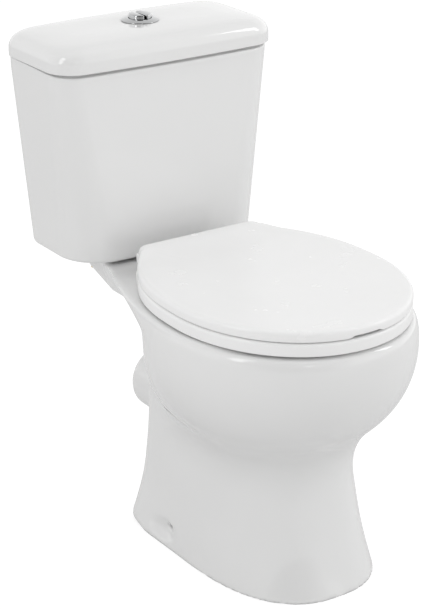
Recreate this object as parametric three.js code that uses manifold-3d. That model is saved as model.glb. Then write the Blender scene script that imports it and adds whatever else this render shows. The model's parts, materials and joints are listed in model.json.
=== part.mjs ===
// A close coupled toilet in millimetres, +Z up. The origin is on the floor under the middle of the whole
// object, +X is the right-hand side seen from the front, and the front faces -Y. Plan positions are written
// as an x and a distance from the wall, so the back of the cistern is at 0 and the front of the bowl at 660.
import * as THREE from "three";
import { mergeVertices } from "three/addons/utils/BufferGeometryUtils.js";
import Module from "manifold-3d";

const wasm = await Module();
wasm.setup();

// ---------------------------------------------------------------- driving dimensions

const PROJECTION = 660; // wall to the front of the bowl
const GAP = 0.3; // between pieces that touch

const DECK_TOP = 398; // shelf that carries the cistern
const RIM_TOP = 404; // where the seat rests
const RIM_ROUND = 41; // height of the rounding from the widest level up to the rim
const BULGE_DROP = 186; // height of the egg-shaped bowl below its widest level
const BOWL = { half: 190, widest: 425, front: PROJECTION, rear: 225, power: 2.25, rearPower: 1.7 };
const FOOT = { half: 129, widest: 400, front: 612, rear: 228, power: 2.5 };

const TANK_FLOOR = 403.5;
const TANK_TOP = 702;
const TANK_WALL = 10;
const TANK_FRONT = 176;
const TANK_FRONT_BOTTOM = 182;
const TANK_HALF_TOP = 189.5;
const TANK_HALF_BOTTOM = 168;
const LID_HALF = 193;
const LID_FRONT = 183;
const LID_TOP = 744;

const BUTTON_FROM_WALL = 84; // button, flush valve, pan inlet and coupling bolts share this line
const BUTTON_TOP = 755;
const BUTTON_RADIUS = 17.3;
const BEZEL_RADIUS = 29;

const SEAT = { rear: 232, backHalf: 106, half: 178, widest: 450, front: 656, power: 2.05, corner: 14 };
const SEAT_FLANK = 3; // how square the seat's sides stay towards the hinge
const RING_BOTTOM = 408;
const RING_TOP = 427;
const COVER_TOP = 443;
const COVER_REAR_TOP = 448;
const HINGE_X = 77.5; // half of the 155 mm between seat fixing holes
const HINGE_FROM_WALL = 248;
const HINGE_Z = 430;

const SPIGOT_RADIUS = 53;
const SPIGOT_END = 128;
const SPIGOT_Z = 172.5;
const TRAP_BORE = 36;
const TRAP_WALL = 9;

const BOLT_X = 76;
const BOLT_RADIUS = 4;
const BOLT_CLEARANCE = 4.3;
const BOLT_HOLE = 6;
const BOLT_RECESS = { radius: 21, top: 380 }; // under the deck, for the lower washer and wing nut
const FILL_X = 124;
const FILL_FROM_WALL = 78;
const BACK_NUT_BOTTOM = 392;
const FOOT_HOLE = { radius: 4, x: 120, fromWall: 343, z: 33 };
const WALL_HOLE = { radius: 4, x: 110, z: 640 };

// ---------------------------------------------------------------- materials

const finish = (color, roughness, metalness) =>
  new THREE.MeshStandardMaterial({ color, roughness, metalness });
const CHINA = finish(0xf1f1f0, 0.08, 0);
const SEAT_WHITE = finish(0xf6f6f5, 0.22, 0);
const CHROME = finish(0xd8dadd, 0.08, 1);
const STEEL = finish(0xb9bcc0, 0.35, 1);
const BRASS = finish(0xc9a85c, 0.3, 1);
const RUBBER = finish(0x2b2b2c, 0.85, 0);
const WHITE_PLASTIC = finish(0xe9e9e6, 0.4, 0);
const BLUE_PLASTIC = finish(0x3f6f9f, 0.4, 0);

// ---------------------------------------------------------------- frame and solids

const backOf = (fromWall) => PROJECTION / 2 - fromWall; // the y of a distance from the wall
const pairs = [["left", -1], ["right", 1]];

const object = new THREE.Group();

function add(name, geometry, material, x = 0, fromWall = PROJECTION / 2, z = 0) {
  const mesh = new THREE.Mesh(geometry, material);
  mesh.name = name;
  mesh.position.set(x, backOf(fromWall), z);
  object.add(mesh);
}

function toSolid(geometry) {
  const bare = geometry.clone();
  bare.deleteAttribute("normal");
  bare.deleteAttribute("uv");
  const merged = mergeVertices(bare, 1e-3);
  const vertProperties = new Float32Array(merged.attributes.position.array);
  const triVerts = new Uint32Array(merged.index.array);
  return new wasm.Manifold(new wasm.Mesh({ numProp: 3, vertProperties, triVerts }));
}

function toGeometry(solid) {
  const mesh = solid.getMesh();
  const geometry = new THREE.BufferGeometry();
  geometry.setAttribute("position", new THREE.BufferAttribute(new Float32Array(mesh.vertProperties), 3));
  geometry.setIndex(new THREE.BufferAttribute(new Uint32Array(mesh.triVerts), 1));
  return geometry;
}

const joinSolids = (geometries) => geometries.map(toSolid).reduce((all, next) => all.add(next));
const join = (...geometries) => toGeometry(joinSolids(geometries));
const cut = (base, ...tools) => toGeometry(toSolid(base).subtract(joinSolids(tools)));

// ---------------------------------------------------------------- basic shapes

function cylinder(radius, low, high, x = 0, y = 0, sides = 24) {
  return new THREE.CylinderGeometry(radius, radius, high - low, sides)
    .rotateX(Math.PI / 2)
    .translate(x, y, (low + high) / 2);
}

function box(lowX, highX, lowY, highY, lowZ, highZ) {
  return new THREE.BoxGeometry(highX - lowX, highY - lowY, highZ - lowZ)
    .translate((lowX + highX) / 2, (lowY + highY) / 2, (lowZ + highZ) / 2);
}

// A cylinder along X, for pins and knuckles.
function roller(radius, lowX, highX, y, z, sides = 16) {
  return new THREE.CylinderGeometry(radius, radius, highX - lowX, sides)
    .rotateZ(Math.PI / 2)
    .translate((lowX + highX) / 2, y, z);
}

// A turned piece about its own vertical axis. The profile lists [radius, height] and closes on itself.
function turned(profile, sides = 20) {
  const points = [...profile, profile[0]].map(([radius, height]) => new THREE.Vector2(radius, height));
  return new THREE.LatheGeometry(points, sides).rotateX(Math.PI / 2);
}

// A washer or sleeve between two radii and two heights.
function tube(inner, outer, low, high, sides = 16) {
  return turned([[inner, low], [outer, low], [outer, high], [inner, high]], sides);
}

function extruded(points, low, high) {
  const shape = new THREE.Shape(points.map(([x, y]) => new THREE.Vector2(x, y)));
  return new THREE.ExtrudeGeometry(shape, { depth: high - low, bevelEnabled: false }).translate(0, 0, low);
}

function hexagon(acrossFlats, low, high) {
  const corner = acrossFlats / Math.sqrt(3);
  const points = [0, 1, 2, 3, 4, 5].map((k) => {
    const angle = (k * Math.PI) / 3;
    return [corner * Math.cos(angle), corner * Math.sin(angle)];
  });
  return extruded(points, low, high);
}

const hexNut = (bore, acrossFlats, low, high) =>
  cut(hexagon(acrossFlats, low, high), cylinder(bore, low - 1, high + 1));

// A nut with two upright wings, to be turned by hand.
function wingNut(bore, low, high) {
  const hub = cylinder(8, low, high, 0, 0, 16);
  const wings = [-1, 1].map((side) => {
    const inner = 6 * side;
    const outer = 19 * side;
    return box(Math.min(inner, outer), Math.max(inner, outer), -1.6, 1.6, low - 5, high - 1);
  });
  return cut(join(hub, ...wings), cylinder(bore, low - 6, high + 1, 0, 0, 16));
}

// A skin over a stack of closed outlines, lowest first, each anticlockwise seen from above.
function loft(rings) {
  const count = rings[0].points.length;
  const positions = rings.flatMap(({ points, z }) => points.flatMap(([x, y]) => [x, y, z]));
  const index = [];
  for (let level = 0; level + 1 < rings.length; level += 1) {
    for (let i = 0; i < count; i += 1) {
      const a = level * count + i;
      const b = level * count + ((i + 1) % count);
      index.push(a, b, a + count, b, b + count, a + count);
    }
  }
  const capOf = (points) =>
    THREE.ShapeUtils.triangulateShape(points.map(([x, y]) => new THREE.Vector2(x, y)), []);
  const top = (rings.length - 1) * count;
  capOf(rings[0].points).forEach(([a, b, c]) => index.push(a, c, b));
  capOf(rings.at(-1).points).forEach(([a, b, c]) => index.push(top + a, top + b, top + c));
  const geometry = new THREE.BufferGeometry();
  geometry.setAttribute("position", new THREE.Float32BufferAttribute(positions, 3));
  geometry.setIndex(index);
  return geometry;
}

// A side view given as [distance from the wall, z], carried across from one x to another.
function sideways(profile, lowX, highX) {
  const across = new THREE.Matrix4().makeBasis(
    new THREE.Vector3(0, 1, 0),
    new THREE.Vector3(0, 0, 1),
    new THREE.Vector3(1, 0, 0),
  );
  return extruded(profile.map(([fromWall, z]) => [backOf(fromWall), z]), lowX, highX).applyMatrix4(across);
}

// A round bar along a smooth curve through points given as [distance from the wall, z].
function bar(route, radius, sides, steps) {
  const stations = route.map(([fromWall, z]) => new THREE.Vector3(0, backOf(fromWall), z));
  const angles = Array.from({ length: sides }, (_, k) => (2 * Math.PI * k) / sides);
  const section = new THREE.Shape(
    angles.map((angle) => new THREE.Vector2(radius * Math.cos(angle), radius * Math.sin(angle))),
  );
  const extrudePath = new THREE.CatmullRomCurve3(stations);
  return new THREE.ExtrudeGeometry(section, { steps, extrudePath, bevelEnabled: false });
}

// ---------------------------------------------------------------- plan outlines

// Mirrors a right-hand half outline, listed from the front centre to the back centre, into a closed outline.
function mirrored(half) {
  const left = half.slice(1, -1).reverse().map(([x, fromWall]) => [-x, fromWall]);
  return [...half, ...left].map(([x, fromWall]) => [x, backOf(fromWall)]);
}

const steps = (count) => Array.from({ length: count + 1 }, (_, k) => k / count);

// A quarter of a superellipse from (0, far) to (half, near).
function nose(half, near, far, power, count) {
  return steps(count).map((t) => {
    const angle = (t * Math.PI) / 2;
    const x = half * Math.sin(angle) ** (2 / power);
    const reach = Math.cos(angle) ** (2 / power);
    return [t === 1 ? half : x, t === 1 ? near : near + (far - near) * reach];
  });
}

// An egg: a superellipse with different reach to the front and to the rear.
function egg({ half, widest, front, rear, power, rearPower = power }, count = 7) {
  const fore = nose(half, widest, front, power, count);
  const aft = nose(half, widest, rear, rearPower, count).reverse().slice(1);
  return mirrored([...fore, ...aft]);
}

// A rounded nose in front, sides that draw in to a flat back with rounded corners. A waist above 1 makes the
// sides hollow.
function bullet({ half, widest, front, rear, power, backHalf, corner, waist = 1 }, count = 6) {
  const fore = nose(half, widest, front, power, count);
  const flank = steps(6).slice(1, -1).map((t) => {
    const spread = Math.cos((t * Math.PI) / 2) ** waist;
    return [backHalf + (half - backHalf) * spread, widest + (rear + corner - widest) * t];
  });
  const turn = steps(3).map((t) => {
    const angle = (t * Math.PI) / 2;
    return [backHalf - corner + corner * Math.cos(angle), rear + corner - corner * Math.sin(angle)];
  });
  return mirrored([...fore, ...flank, ...turn, [0, rear]]);
}

// A box with rounded corners whose front bows outwards by the given amount.
function boxed(half, front, rear, frontCorner, rearCorner, bow) {
  const bowed = (x) => front - bow * (x / half) ** 2;
  const face = steps(3).slice(0, -1).map((t) => {
    const x = t * (half - frontCorner);
    return [x, bowed(x)];
  });
  const fore = steps(4).map((t) => {
    const angle = (t * Math.PI) / 2;
    const x = half - frontCorner + frontCorner * Math.sin(angle);
    return [x, bowed(half - frontCorner) - frontCorner * (1 - Math.cos(angle))];
  });
  const aft = steps(3).map((t) => {
    const angle = (t * Math.PI) / 2;
    const x = half - rearCorner + rearCorner * Math.cos(angle);
    return [x, rear + rearCorner - rearCorner * Math.sin(angle)];
  });
  return mirrored([...face, ...fore, ...aft, [0, rear]]);
}

// ---------------------------------------------------------------- pan

const BOWL_WIDEST_Z = RIM_TOP - RIM_ROUND;
const RIM_INSET = 14;

// The outside of the bowl at a level, drawn in by the given inset. Its back is steeper than its front, and
// grows squarer downwards.
function bowlRing(z, shrink, inset = 0) {
  const half = BOWL.half * shrink - inset;
  const front = BOWL.widest + (BOWL.front - BOWL.widest) * shrink - inset;
  const rear = BOWL.widest - (BOWL.widest - BOWL.rear) * shrink ** 0.5 + inset;
  const rearPower = BOWL.rearPower + 3 * (1 - shrink);
  return { z, points: egg({ ...BOWL, half, front, rear, rearPower }) };
}

function bowlOutside() {
  const below = steps(6).slice(0, -1).reverse().map((t) => {
    const angle = t * 1.4;
    return bowlRing(BOWL_WIDEST_Z - BULGE_DROP * Math.sin(angle), Math.cos(angle));
  });
  const above = steps(3).slice(1).map((t) => {
    const angle = (t * Math.PI) / 2;
    return bowlRing(BOWL_WIDEST_Z + RIM_ROUND * Math.sin(angle), 1, RIM_INSET * (1 - Math.cos(angle)));
  });
  return loft([...below, ...above]);
}

// The pedestal narrows from the floor upwards: [height, front, half width, half width at the back].
const PEDESTAL = [
  [0, 612, 129, 126],
  [30, 602, 123, 116],
  [75, 589, 115, 103],
  [130, 577, 108, 95],
  [200, 563, 101, 91],
  [290, 549, 95, 88],
];

function pedestal(inset, lowest) {
  return loft(PEDESTAL.map(([z, front, half, backHalf], k) => ({
    z: k === 0 ? lowest : z,
    points: bullet({
      ...FOOT,
      front: front - inset,
      rear: FOOT.rear + inset,
      half: half - inset,
      backHalf: backHalf - inset,
      corner: 25 - inset / 2,
    }),
  })));
}

// The shoulder that carries the deck back from the bowl: [height, rear, half width at the back, half width
// at the bowl, how hollow its sides are].
const SHOULDER = [
  [265, 228, 74, 105, 3.5],
  [290, 208, 74, 142, 3.5],
  [318, 182, 76, 168, 3.5],
  [341, 158, 84, 184, 3.5],
  [363, 144, 108, 188, 2.8],
  [380, 140, 116, 187, 1.9],
  [393, 140, 121, 184, 1.1],
  [DECK_TOP, 144, 119, 179, 1],
];
const SHOULDER_FRONT = 560;
function shoulderRing([z, rear, backHalf, half, waist]) {
  const shape = { ...BOWL, half, front: SHOULDER_FRONT, rear, backHalf, corner: 14, waist };
  return { z, points: bullet(shape) };
}
const shoulder = () => loft(SHOULDER.map(shoulderRing));

// The shelf under the cistern, deeper towards the bowl.
const SHELF_HALF = 98;
const SHELF_REAR = 28;
const shelf = () =>
  loft([
    { z: 335, points: boxed(SHELF_HALF - 14, 240, 150, 6, 12, 0) },
    { z: 372, points: boxed(SHELF_HALF - 3, 240, SHELF_REAR + 3, 6, 12, 0) },
    { z: 378, points: boxed(SHELF_HALF, 240, SHELF_REAR, 6, 12, 0) },
    { z: DECK_TOP - 4, points: boxed(SHELF_HALF, 240, SHELF_REAR, 6, 12, 0) },
    { z: DECK_TOP, points: boxed(SHELF_HALF - 4, 240, SHELF_REAR + 4, 6, 12, 0) },
  ]);

// The inside of the bowl, from the sump up to the rim: [height, half width, front, rear, widest].
const SUMP_FLOOR = 112;
const BOWL_INSIDE = [
  [SUMP_FLOOR, 36, 478, 402, 440],
  [150, 46, 490, 388, 440],
  [190, 66, 512, 370, 438],
  [220, 102, 550, 346, 436],
  [255, 140, 596, 318, 432],
  [300, 163, 626, 290, 430],
  [345, 170, 636, 280, 430],
  [370, 170, 636, 280, 430],
];
const RIM_INSIDE = [
  [369, 134, 612, 294, 440],
  [396, 134, 612, 294, 440],
  [RIM_TOP + 1, 141, 620, 287, 440],
];
const hollowRing = (grow) => ([z, half, front, rear, widest]) => ({
  z,
  points: egg({ half: half + grow, front: front + grow, rear: rear - grow, widest, power: 2.25 }, 6),
});
const bowlInside = (grow = 0) => loft(BOWL_INSIDE.map(hollowRing(grow)));
const rimInside = () => loft(RIM_INSIDE.map(hollowRing(0)));

// The trapway: down out of the sump, up over the weir and back out of the spigot, in bends of 48 mm radius.
const WEIR_ROUTE = [
  [300, 234],
  [266, 220],
  [246, 197],
  [226, 180],
  [200, SPIGOT_Z + 1],
];
const TRAP_ROUTE = [
  [444, 172],
  [444, 158],
  [430, 124],
  [396, 110],
  [362, 124],
  [348, 158],
  [348, 186],
  [334, 220],
  ...WEIR_ROUTE,
  [SPIGOT_END - 2, SPIGOT_Z],
];

// The china around the trapway inside the pedestal, as a side view.
const TRAP_BODY = [
  [488, 190],
  [486, 110],
  [452, 76],
  [396, 63],
  [342, 76],
  [308, 108],
  [300, 160],
  [286, 168],
  [262, 150],
  [236, 140],
  [236, 240],
  [262, 268],
  [300, 281],
  [345, 262],
  [380, 225],
];

function spigot() {
  const length = FOOT.rear + 10 - SPIGOT_END;
  return new THREE.CylinderGeometry(SPIGOT_RADIUS, SPIGOT_RADIUS, length, 24)
    .translate(0, backOf(SPIGOT_END + length / 2), SPIGOT_Z);
}

// The channel that brings the flush water from the deck inlet to the space under the rim.
const INLET_RADIUS = 30;
const INLET_MOUTH = 46;
const INLET_LEDGE = 373;
const CHANNEL_Z = 360;
const CHANNEL_BORE = 17;
const CHANNEL_WALL = 11;
const CHANNEL_END = 300;
function channel(radius, start, end) {
  return new THREE.CylinderGeometry(radius, radius, end - start, 16)
    .translate(0, backOf((start + end) / 2), CHANNEL_Z);
}

// The hollow under the deck, above the hollow of the pedestal: [height, rear, half width at the back, half
// width at the bowl].
const PAN_WALL = 12;
const UNDER_DECK = [
  [262, 236, 66, 84],
  [282, 200, 64, 102],
  [330, 164, 74, 140],
  [344, 170, 94, 146],
  [DECK_TOP - 24, 168, 104, 156],
];
const UNDER_DECK_FRONT = 520;
function underDeckRing([z, rear, backHalf, half]) {
  const { widest, power } = FOOT;
  return { z, points: bullet({ half, widest, front: UNDER_DECK_FRONT, rear, power, backHalf, corner: 12 }) };
}

// The hollow below the bowl and the deck, open at the floor. The bowl, trapway and channel keep their walls.
function underside() {
  const kept = [
    bowlInside(PAN_WALL),
    sideways(TRAP_BODY, -TRAP_BORE - TRAP_WALL, TRAP_BORE + TRAP_WALL),
    channel(CHANNEL_BORE + CHANNEL_WALL, 140, CHANNEL_END - 10),
  ];
  return cut(join(pedestal(PAN_WALL, -1), loft(UNDER_DECK.map(underDeckRing))), ...kept);
}

const LANDING_RADIUS = 22; // round flats on the deck, level with the rim, for the seat's hinges

function pan() {
  const fairing = bar(WEIR_ROUTE, TRAP_BORE + TRAP_WALL, 16, 6);
  const hingeY = backOf(HINGE_FROM_WALL);
  const landings = pairs.map(([, side]) =>
    cylinder(LANDING_RADIUS, DECK_TOP - 10, RIM_TOP, side * HINGE_X, hingeY, 24));
  const outside = join(bowlOutside(), pedestal(0, 0), shoulder(), shelf(), spigot(), fairing, ...landings);
  const inletY = backOf(BUTTON_FROM_WALL);
  const bolts = pairs.flatMap(([, side]) => [
    cylinder(BOLT_HOLE, 300, RIM_TOP + 1, side * BOLT_X, inletY, 12),
    cylinder(BOLT_RECESS.radius, 300, BOLT_RECESS.top, side * BOLT_X, inletY, 16),
    cylinder(BOLT_HOLE, 300, RIM_TOP + 1, side * HINGE_X, hingeY, 12),
  ]);
  const footHoles = pairs.map(([, side]) => {
    const { radius, x, fromWall, z } = FOOT_HOLE;
    return roller(radius, side * x - 30, side * x + 30, backOf(fromWall), z, 12);
  });
  return cut(
    outside,
    underside(),
    bowlInside(),
    rimInside(),
    bar(TRAP_ROUTE, TRAP_BORE, 12, 18),
    cylinder(INLET_MOUTH, INLET_LEDGE, DECK_TOP + 1, 0, inletY, 24),
    cylinder(INLET_RADIUS, CHANNEL_Z - 18, INLET_LEDGE + 1, 0, inletY, 20),
    channel(CHANNEL_BORE, BUTTON_FROM_WALL, CHANNEL_END),
    ...bolts,
    ...footHoles,
  );
}

// ---------------------------------------------------------------- cistern

const TANK_BOW = 5;
const TANK_FRONT_CORNER = { bottom: 70, top: 40 };
const TANK_REAR_CORNER = { bottom: 45, top: 24 };
const FLOOR_THICKNESS = 11;
const TANK_INSIDE_Z = TANK_FLOOR + FLOOR_THICKNESS;

// The tank's outline at a height, drawn in by the given inset. It grows wider and squarer upwards.
function tankRing(z, inset) {
  const t = (z - TANK_FLOOR) / (TANK_TOP - TANK_FLOOR);
  const half = TANK_HALF_BOTTOM + (TANK_HALF_TOP - TANK_HALF_BOTTOM) * t;
  const front = TANK_FRONT_BOTTOM + (TANK_FRONT - TANK_FRONT_BOTTOM) * t;
  const frontCorner = TANK_FRONT_CORNER.bottom + (TANK_FRONT_CORNER.top - TANK_FRONT_CORNER.bottom) * t;
  const rearCorner = TANK_REAR_CORNER.bottom + (TANK_REAR_CORNER.top - TANK_REAR_CORNER.bottom) * t;
  const points = boxed(half - inset, front - inset, inset, frontCorner - inset, rearCorner - inset, TANK_BOW);
  return { z, points };
}

const VALVE_HOLE = 31.5;
const FILL_HOLE = 11.5;
const floorHole = (radius, x, y, sides) =>
  cylinder(radius, TANK_FLOOR - 1, TANK_INSIDE_Z + 1, x, y, sides);

function tank() {
  const foot = [[0, 6], [2.5, 2], [9, 0]].map(([rise, inset]) => tankRing(TANK_FLOOR + rise, inset));
  const outer = loft([...foot, tankRing(TANK_TOP, 0)]);
  const inner = loft([tankRing(TANK_INSIDE_Z, TANK_WALL + 1), tankRing(TANK_TOP + 1, TANK_WALL)]);
  const valveY = backOf(BUTTON_FROM_WALL);
  const floorHoles = [
    floorHole(VALVE_HOLE, 0, valveY, 28),
    floorHole(FILL_HOLE, FILL_X, backOf(FILL_FROM_WALL), 20),
    ...pairs.map(([, side]) => floorHole(BOLT_HOLE, side * BOLT_X, valveY, 16)),
  ];
  const wallHoles = pairs.map(([, side]) => {
    const { radius, x, z } = WALL_HOLE;
    const hole = new THREE.CylinderGeometry(radius, radius, 3 * TANK_WALL, 16);
    return hole.translate(side * x, backOf(TANK_WALL / 2), z);
  });
  return cut(outer, inner, ...floorHoles, ...wallHoles);
}

const LID_UNDER = 731.5;
const LID_WALL = 26;
const LIP_GAP = 4; // between the lid's lip and the inside of the tank
const LIP_DEPTH = 8;
const LID_CORNER = { front: 44, rear: 22 };
const LID_BOW = 8;
const BUTTON_HOLE = 20;
// The lid's rounded top edge: [height above the bottom edge, inset].
const LID_EDGE = [[0, 2], [3, 0], [20, 0.5], [29, 4], [35, 10], [38.5, 18], [40.5, 34]];

function cisternLid() {
  const base = TANK_TOP + GAP;
  const ring = ([rise, inset]) => ({
    z: base + rise,
    points: boxed(
      LID_HALF - inset,
      LID_FRONT - inset,
      inset * 0.7,
      LID_CORNER.front - inset / 3,
      LID_CORNER.rear,
      LID_BOW - inset / 8,
    ),
  });
  const outer = loft([...LID_EDGE, [LID_TOP - base, 62]].map(ring));
  const hollowOutline = boxed(LID_HALF - LID_WALL, LID_FRONT - LID_WALL, LID_WALL - 4, 26, 10, TANK_BOW);
  const lipOutline = tankRing(TANK_TOP, TANK_WALL + LIP_GAP).points;
  const lip = loft([{ z: base - LIP_DEPTH, points: lipOutline }, { z: base + LIP_GAP, points: lipOutline }]);
  const hollow = loft([
    { z: base - LIP_DEPTH - 1, points: hollowOutline },
    { z: LID_UNDER, points: hollowOutline },
  ]);
  const buttonHole = cylinder(BUTTON_HOLE, LID_UNDER - 1, LID_TOP + 2, 0, backOf(BUTTON_FROM_WALL), 28);
  return cut(join(outer, lip), hollow, buttonHole);
}

// ---------------------------------------------------------------- push button

const BEZEL_BOTTOM = 712;
const BEZEL_FLOOR = 715;
const BUTTON_BOTTOM = 735;

function bezel() {
  const top = LID_TOP + GAP;
  const body = turned([
    [0.001, BEZEL_BOTTOM],
    [19.2, BEZEL_BOTTOM],
    [19.2, top],
    [BEZEL_RADIUS, top],
    [BEZEL_RADIUS - 0.5, top + 1.4],
    [BEZEL_RADIUS - 6, top + 3.4],
    [18.4, top + 3.8],
    [17.9, top + 3],
    [17.9, BEZEL_FLOOR],
    [0.001, BEZEL_FLOOR],
  ], 36);
  const rodHoles = [-1, 1].map((side) => cylinder(3.2, BEZEL_BOTTOM - 1, BEZEL_FLOOR + 1, side * 8, 0, 12));
  return cut(body, ...rodHoles);
}

// One of the two button caps: a part of a disc beyond a straight split, with a flat crowned top.
function buttonCap(side, split) {
  const disc = turned([
    [0.001, BUTTON_BOTTOM],
    [BUTTON_RADIUS, BUTTON_BOTTOM],
    [BUTTON_RADIUS, BUTTON_TOP - 2],
    [BUTTON_RADIUS - 0.8, BUTTON_TOP - 0.6],
    [BUTTON_RADIUS - 2.5, BUTTON_TOP],
    [0.001, BUTTON_TOP],
  ], 36);
  const away = side > 0 ? box(-30, split + GAP, -30, 30, 700, 800) : box(split - GAP, 30, -30, 30, 700, 800);
  return cut(disc, away);
}

const ROD_X = 8;
const ROD_BOTTOM = 648;
const pushRod = () => cylinder(2.4, ROD_BOTTOM, BUTTON_BOTTOM - GAP, 0, 0, 12);

// A compression spring about its own axis.
function spring(low, high, meanRadius, wire, turns) {
  class Helix extends THREE.Curve {
    getPoint(t, target = new THREE.Vector3()) {
      const angle = 2 * Math.PI * turns * t;
      const z = low + wire + (high - low - 2 * wire) * t;
      return target.set(meanRadius * Math.cos(angle), meanRadius * Math.sin(angle), z);
    }
  }
  const section = new THREE.Shape();
  section.absarc(0, 0, wire, 0, 2 * Math.PI);
  return new THREE.ExtrudeGeometry(section, {
    steps: turns * 8,
    curveSegments: 2,
    extrudePath: new Helix(),
    bevelEnabled: false,
  });
}

// ---------------------------------------------------------------- flush valve, about its own axis

const OUTLET_BOTTOM = 377;
const VALVE_SEAT = TANK_INSIDE_Z + 8;
const CAGE_TOP = 618;
const WINDOW_TOP = 468;

const valveBase = () =>
  turned([
    [25, OUTLET_BOTTOM],
    [29.5, OUTLET_BOTTOM],
    [29.5, TANK_INSIDE_Z + GAP],
    [39, TANK_INSIDE_Z + GAP],
    [39, VALVE_SEAT - 2],
    [28, VALVE_SEAT - 2],
    [27, VALVE_SEAT],
    [25, VALVE_SEAT],
  ]);

// A sleeve on three legs, open between them so that water reaches the outlet.
function valveCage() {
  const sleeve = tube(30.5, 34, VALVE_SEAT - 2 + GAP, CAGE_TOP);
  const window = (k) => box(4, 40, -16, 16, VALVE_SEAT - 6, WINDOW_TOP).rotateZ((2 * Math.PI * k) / 3);
  const windows = [0, 1, 2].map(window);
  return cut(sleeve, ...windows);
}

function valveHead() {
  const head = turned([
    [0.001, CAGE_TOP + GAP],
    [34, CAGE_TOP + GAP],
    [34, 632],
    [22, 656],
    [0.001, 656],
  ]);
  const wells = [-1, 1].map((side) => cylinder(4, 640, 658, side * ROD_X, 0, 12));
  const tubeWell = cylinder(16, CAGE_TOP - 1, 636, 0, 0, 20);
  return cut(head, tubeWell, ...wells);
}

const SEAL_THICKNESS = 5;
const overflowTube = () =>
  turned([
    [11, VALVE_SEAT + SEAL_THICKNESS + 2 * GAP],
    [26, VALVE_SEAT + SEAL_THICKNESS + 2 * GAP],
    [26, VALVE_SEAT + SEAL_THICKNESS + 6],
    [13.5, VALVE_SEAT + SEAL_THICKNESS + 12],
    [13.5, CAGE_TOP + 3],
    [11, CAGE_TOP + 3],
  ], 20);
const flushSeal = () => tube(10, 29, VALVE_SEAT + GAP, VALVE_SEAT + SEAL_THICKNESS + GAP);

// ---------------------------------------------------------------- fill valve, about its own axis

const RISER_TOP = 598;
const fillBody = () =>
  turned([
    [6, 352],
    [10.3, 352],
    [10.3, TANK_INSIDE_Z + 3 + 2 * GAP],
    [14.8, TANK_INSIDE_Z + 3 + 2 * GAP],
    [14.8, TANK_INSIDE_Z + 8],
    [9, TANK_INSIDE_Z + 12],
    [9, RISER_TOP],
    [6, RISER_TOP],
  ], 20);

const FILL_PIVOT_Z = 628;
const ROD_REACH = 34; // from the lever's pivot to the float's rod
function fillHead() {
  const head = turned([
    [0.001, RISER_TOP + GAP],
    [13, RISER_TOP + GAP],
    [13, 618],
    [10, 640],
    [0.001, 640],
  ], 20);
  const ears = [-1, 1].map((side) => {
    const near = 3.2 * side;
    const far = 5.6 * side;
    return box(-18, -6, Math.min(near, far), Math.max(near, far), 620, 634);
  });
  const slot = box(-20, -5, -3.2, 3.2, 612, 642);
  return cut(join(cut(head, slot), ...ears), pivotHole());
}
const pivotHole = () =>
  new THREE.CylinderGeometry(1.8, 1.8, 40, 12).translate(-13, 0, FILL_PIVOT_Z);
const leverPin = () =>
  new THREE.CylinderGeometry(1.5, 1.5, 11, 12).translate(-13, 0, FILL_PIVOT_Z);

const FLOAT_LOW = 505;
const FLOAT_HIGH = 560;
function floatCup() {
  const cup = tube(10, 20, FLOAT_LOW, FLOAT_HIGH);
  const rodX = -13 - ROD_REACH;
  const arm = box(rodX - 4, -15, -4, 4, 550, 556);
  const rod = cylinder(2, 552, 622.5, rodX, 0, 10);
  const peg = box(rodX - 4, rodX + 4, -4, 4, 620, 624);
  return join(cup, arm, rod, peg);
}
function fillLever() {
  const arm = box(-13 - ROD_REACH - 3, -13, -2.4, 2.4, 625, 631);
  const boss = new THREE.CylinderGeometry(4, 4, 4.8, 14).translate(-13, 0, FILL_PIVOT_Z);
  return cut(join(arm, boss), pivotHole());
}

// ---------------------------------------------------------------- seat

// Half width of the seat behind its widest point: a full flank that turns in towards the back corner.
function halfAt(fromWall) {
  const { half, widest, backHalf, rear, corner } = SEAT;
  const t = Math.min((widest - fromWall) / (widest - rear - corner), 1);
  return half - (half - backHalf) * t ** SEAT_FLANK;
}

// The seat's outline at the given inset, from the front back to the given rear edge.
function seatOutline(inset, rear = SEAT.rear, count = 9) {
  const { half, widest, front, power, corner } = SEAT;
  const fore = nose(half - inset, widest, front - inset, power, count);
  const start = rear + corner;
  const flank = steps(6).slice(1, -1).map((t) => {
    const fromWall = widest + (start - widest) * t;
    return [halfAt(fromWall) - inset, fromWall];
  });
  const turn = steps(3).map((t) => {
    const angle = (t * Math.PI) / 2;
    const x = halfAt(start) - inset - corner + corner * Math.cos(angle);
    return [x, rear + inset + corner - corner * Math.sin(angle)];
  });
  return mirrored([...fore, ...flank, ...turn, [0, rear + inset]]);
}

const RING_REAR = 264;
const RING_HOLE = { half: 112, widest: 440, front: 602, rear: 300, power: 2.15 };
const EAR_IN = 55.5;
const EAR_OUT = 65.5;
const axisY = backOf(HINGE_FROM_WALL);

const EAR_REACH = 20; // from the ring's back edge forward, where the hinge ears join it
const PIN_BORE = 3.3;

// The ring's hole, grown by an amount. It flares towards the top and bottom faces.
function ringHole(z, by) {
  const { half, front, rear } = RING_HOLE;
  return { z, points: egg({ ...RING_HOLE, half: half + by, front: front + by, rear: rear - by }) };
}

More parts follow.
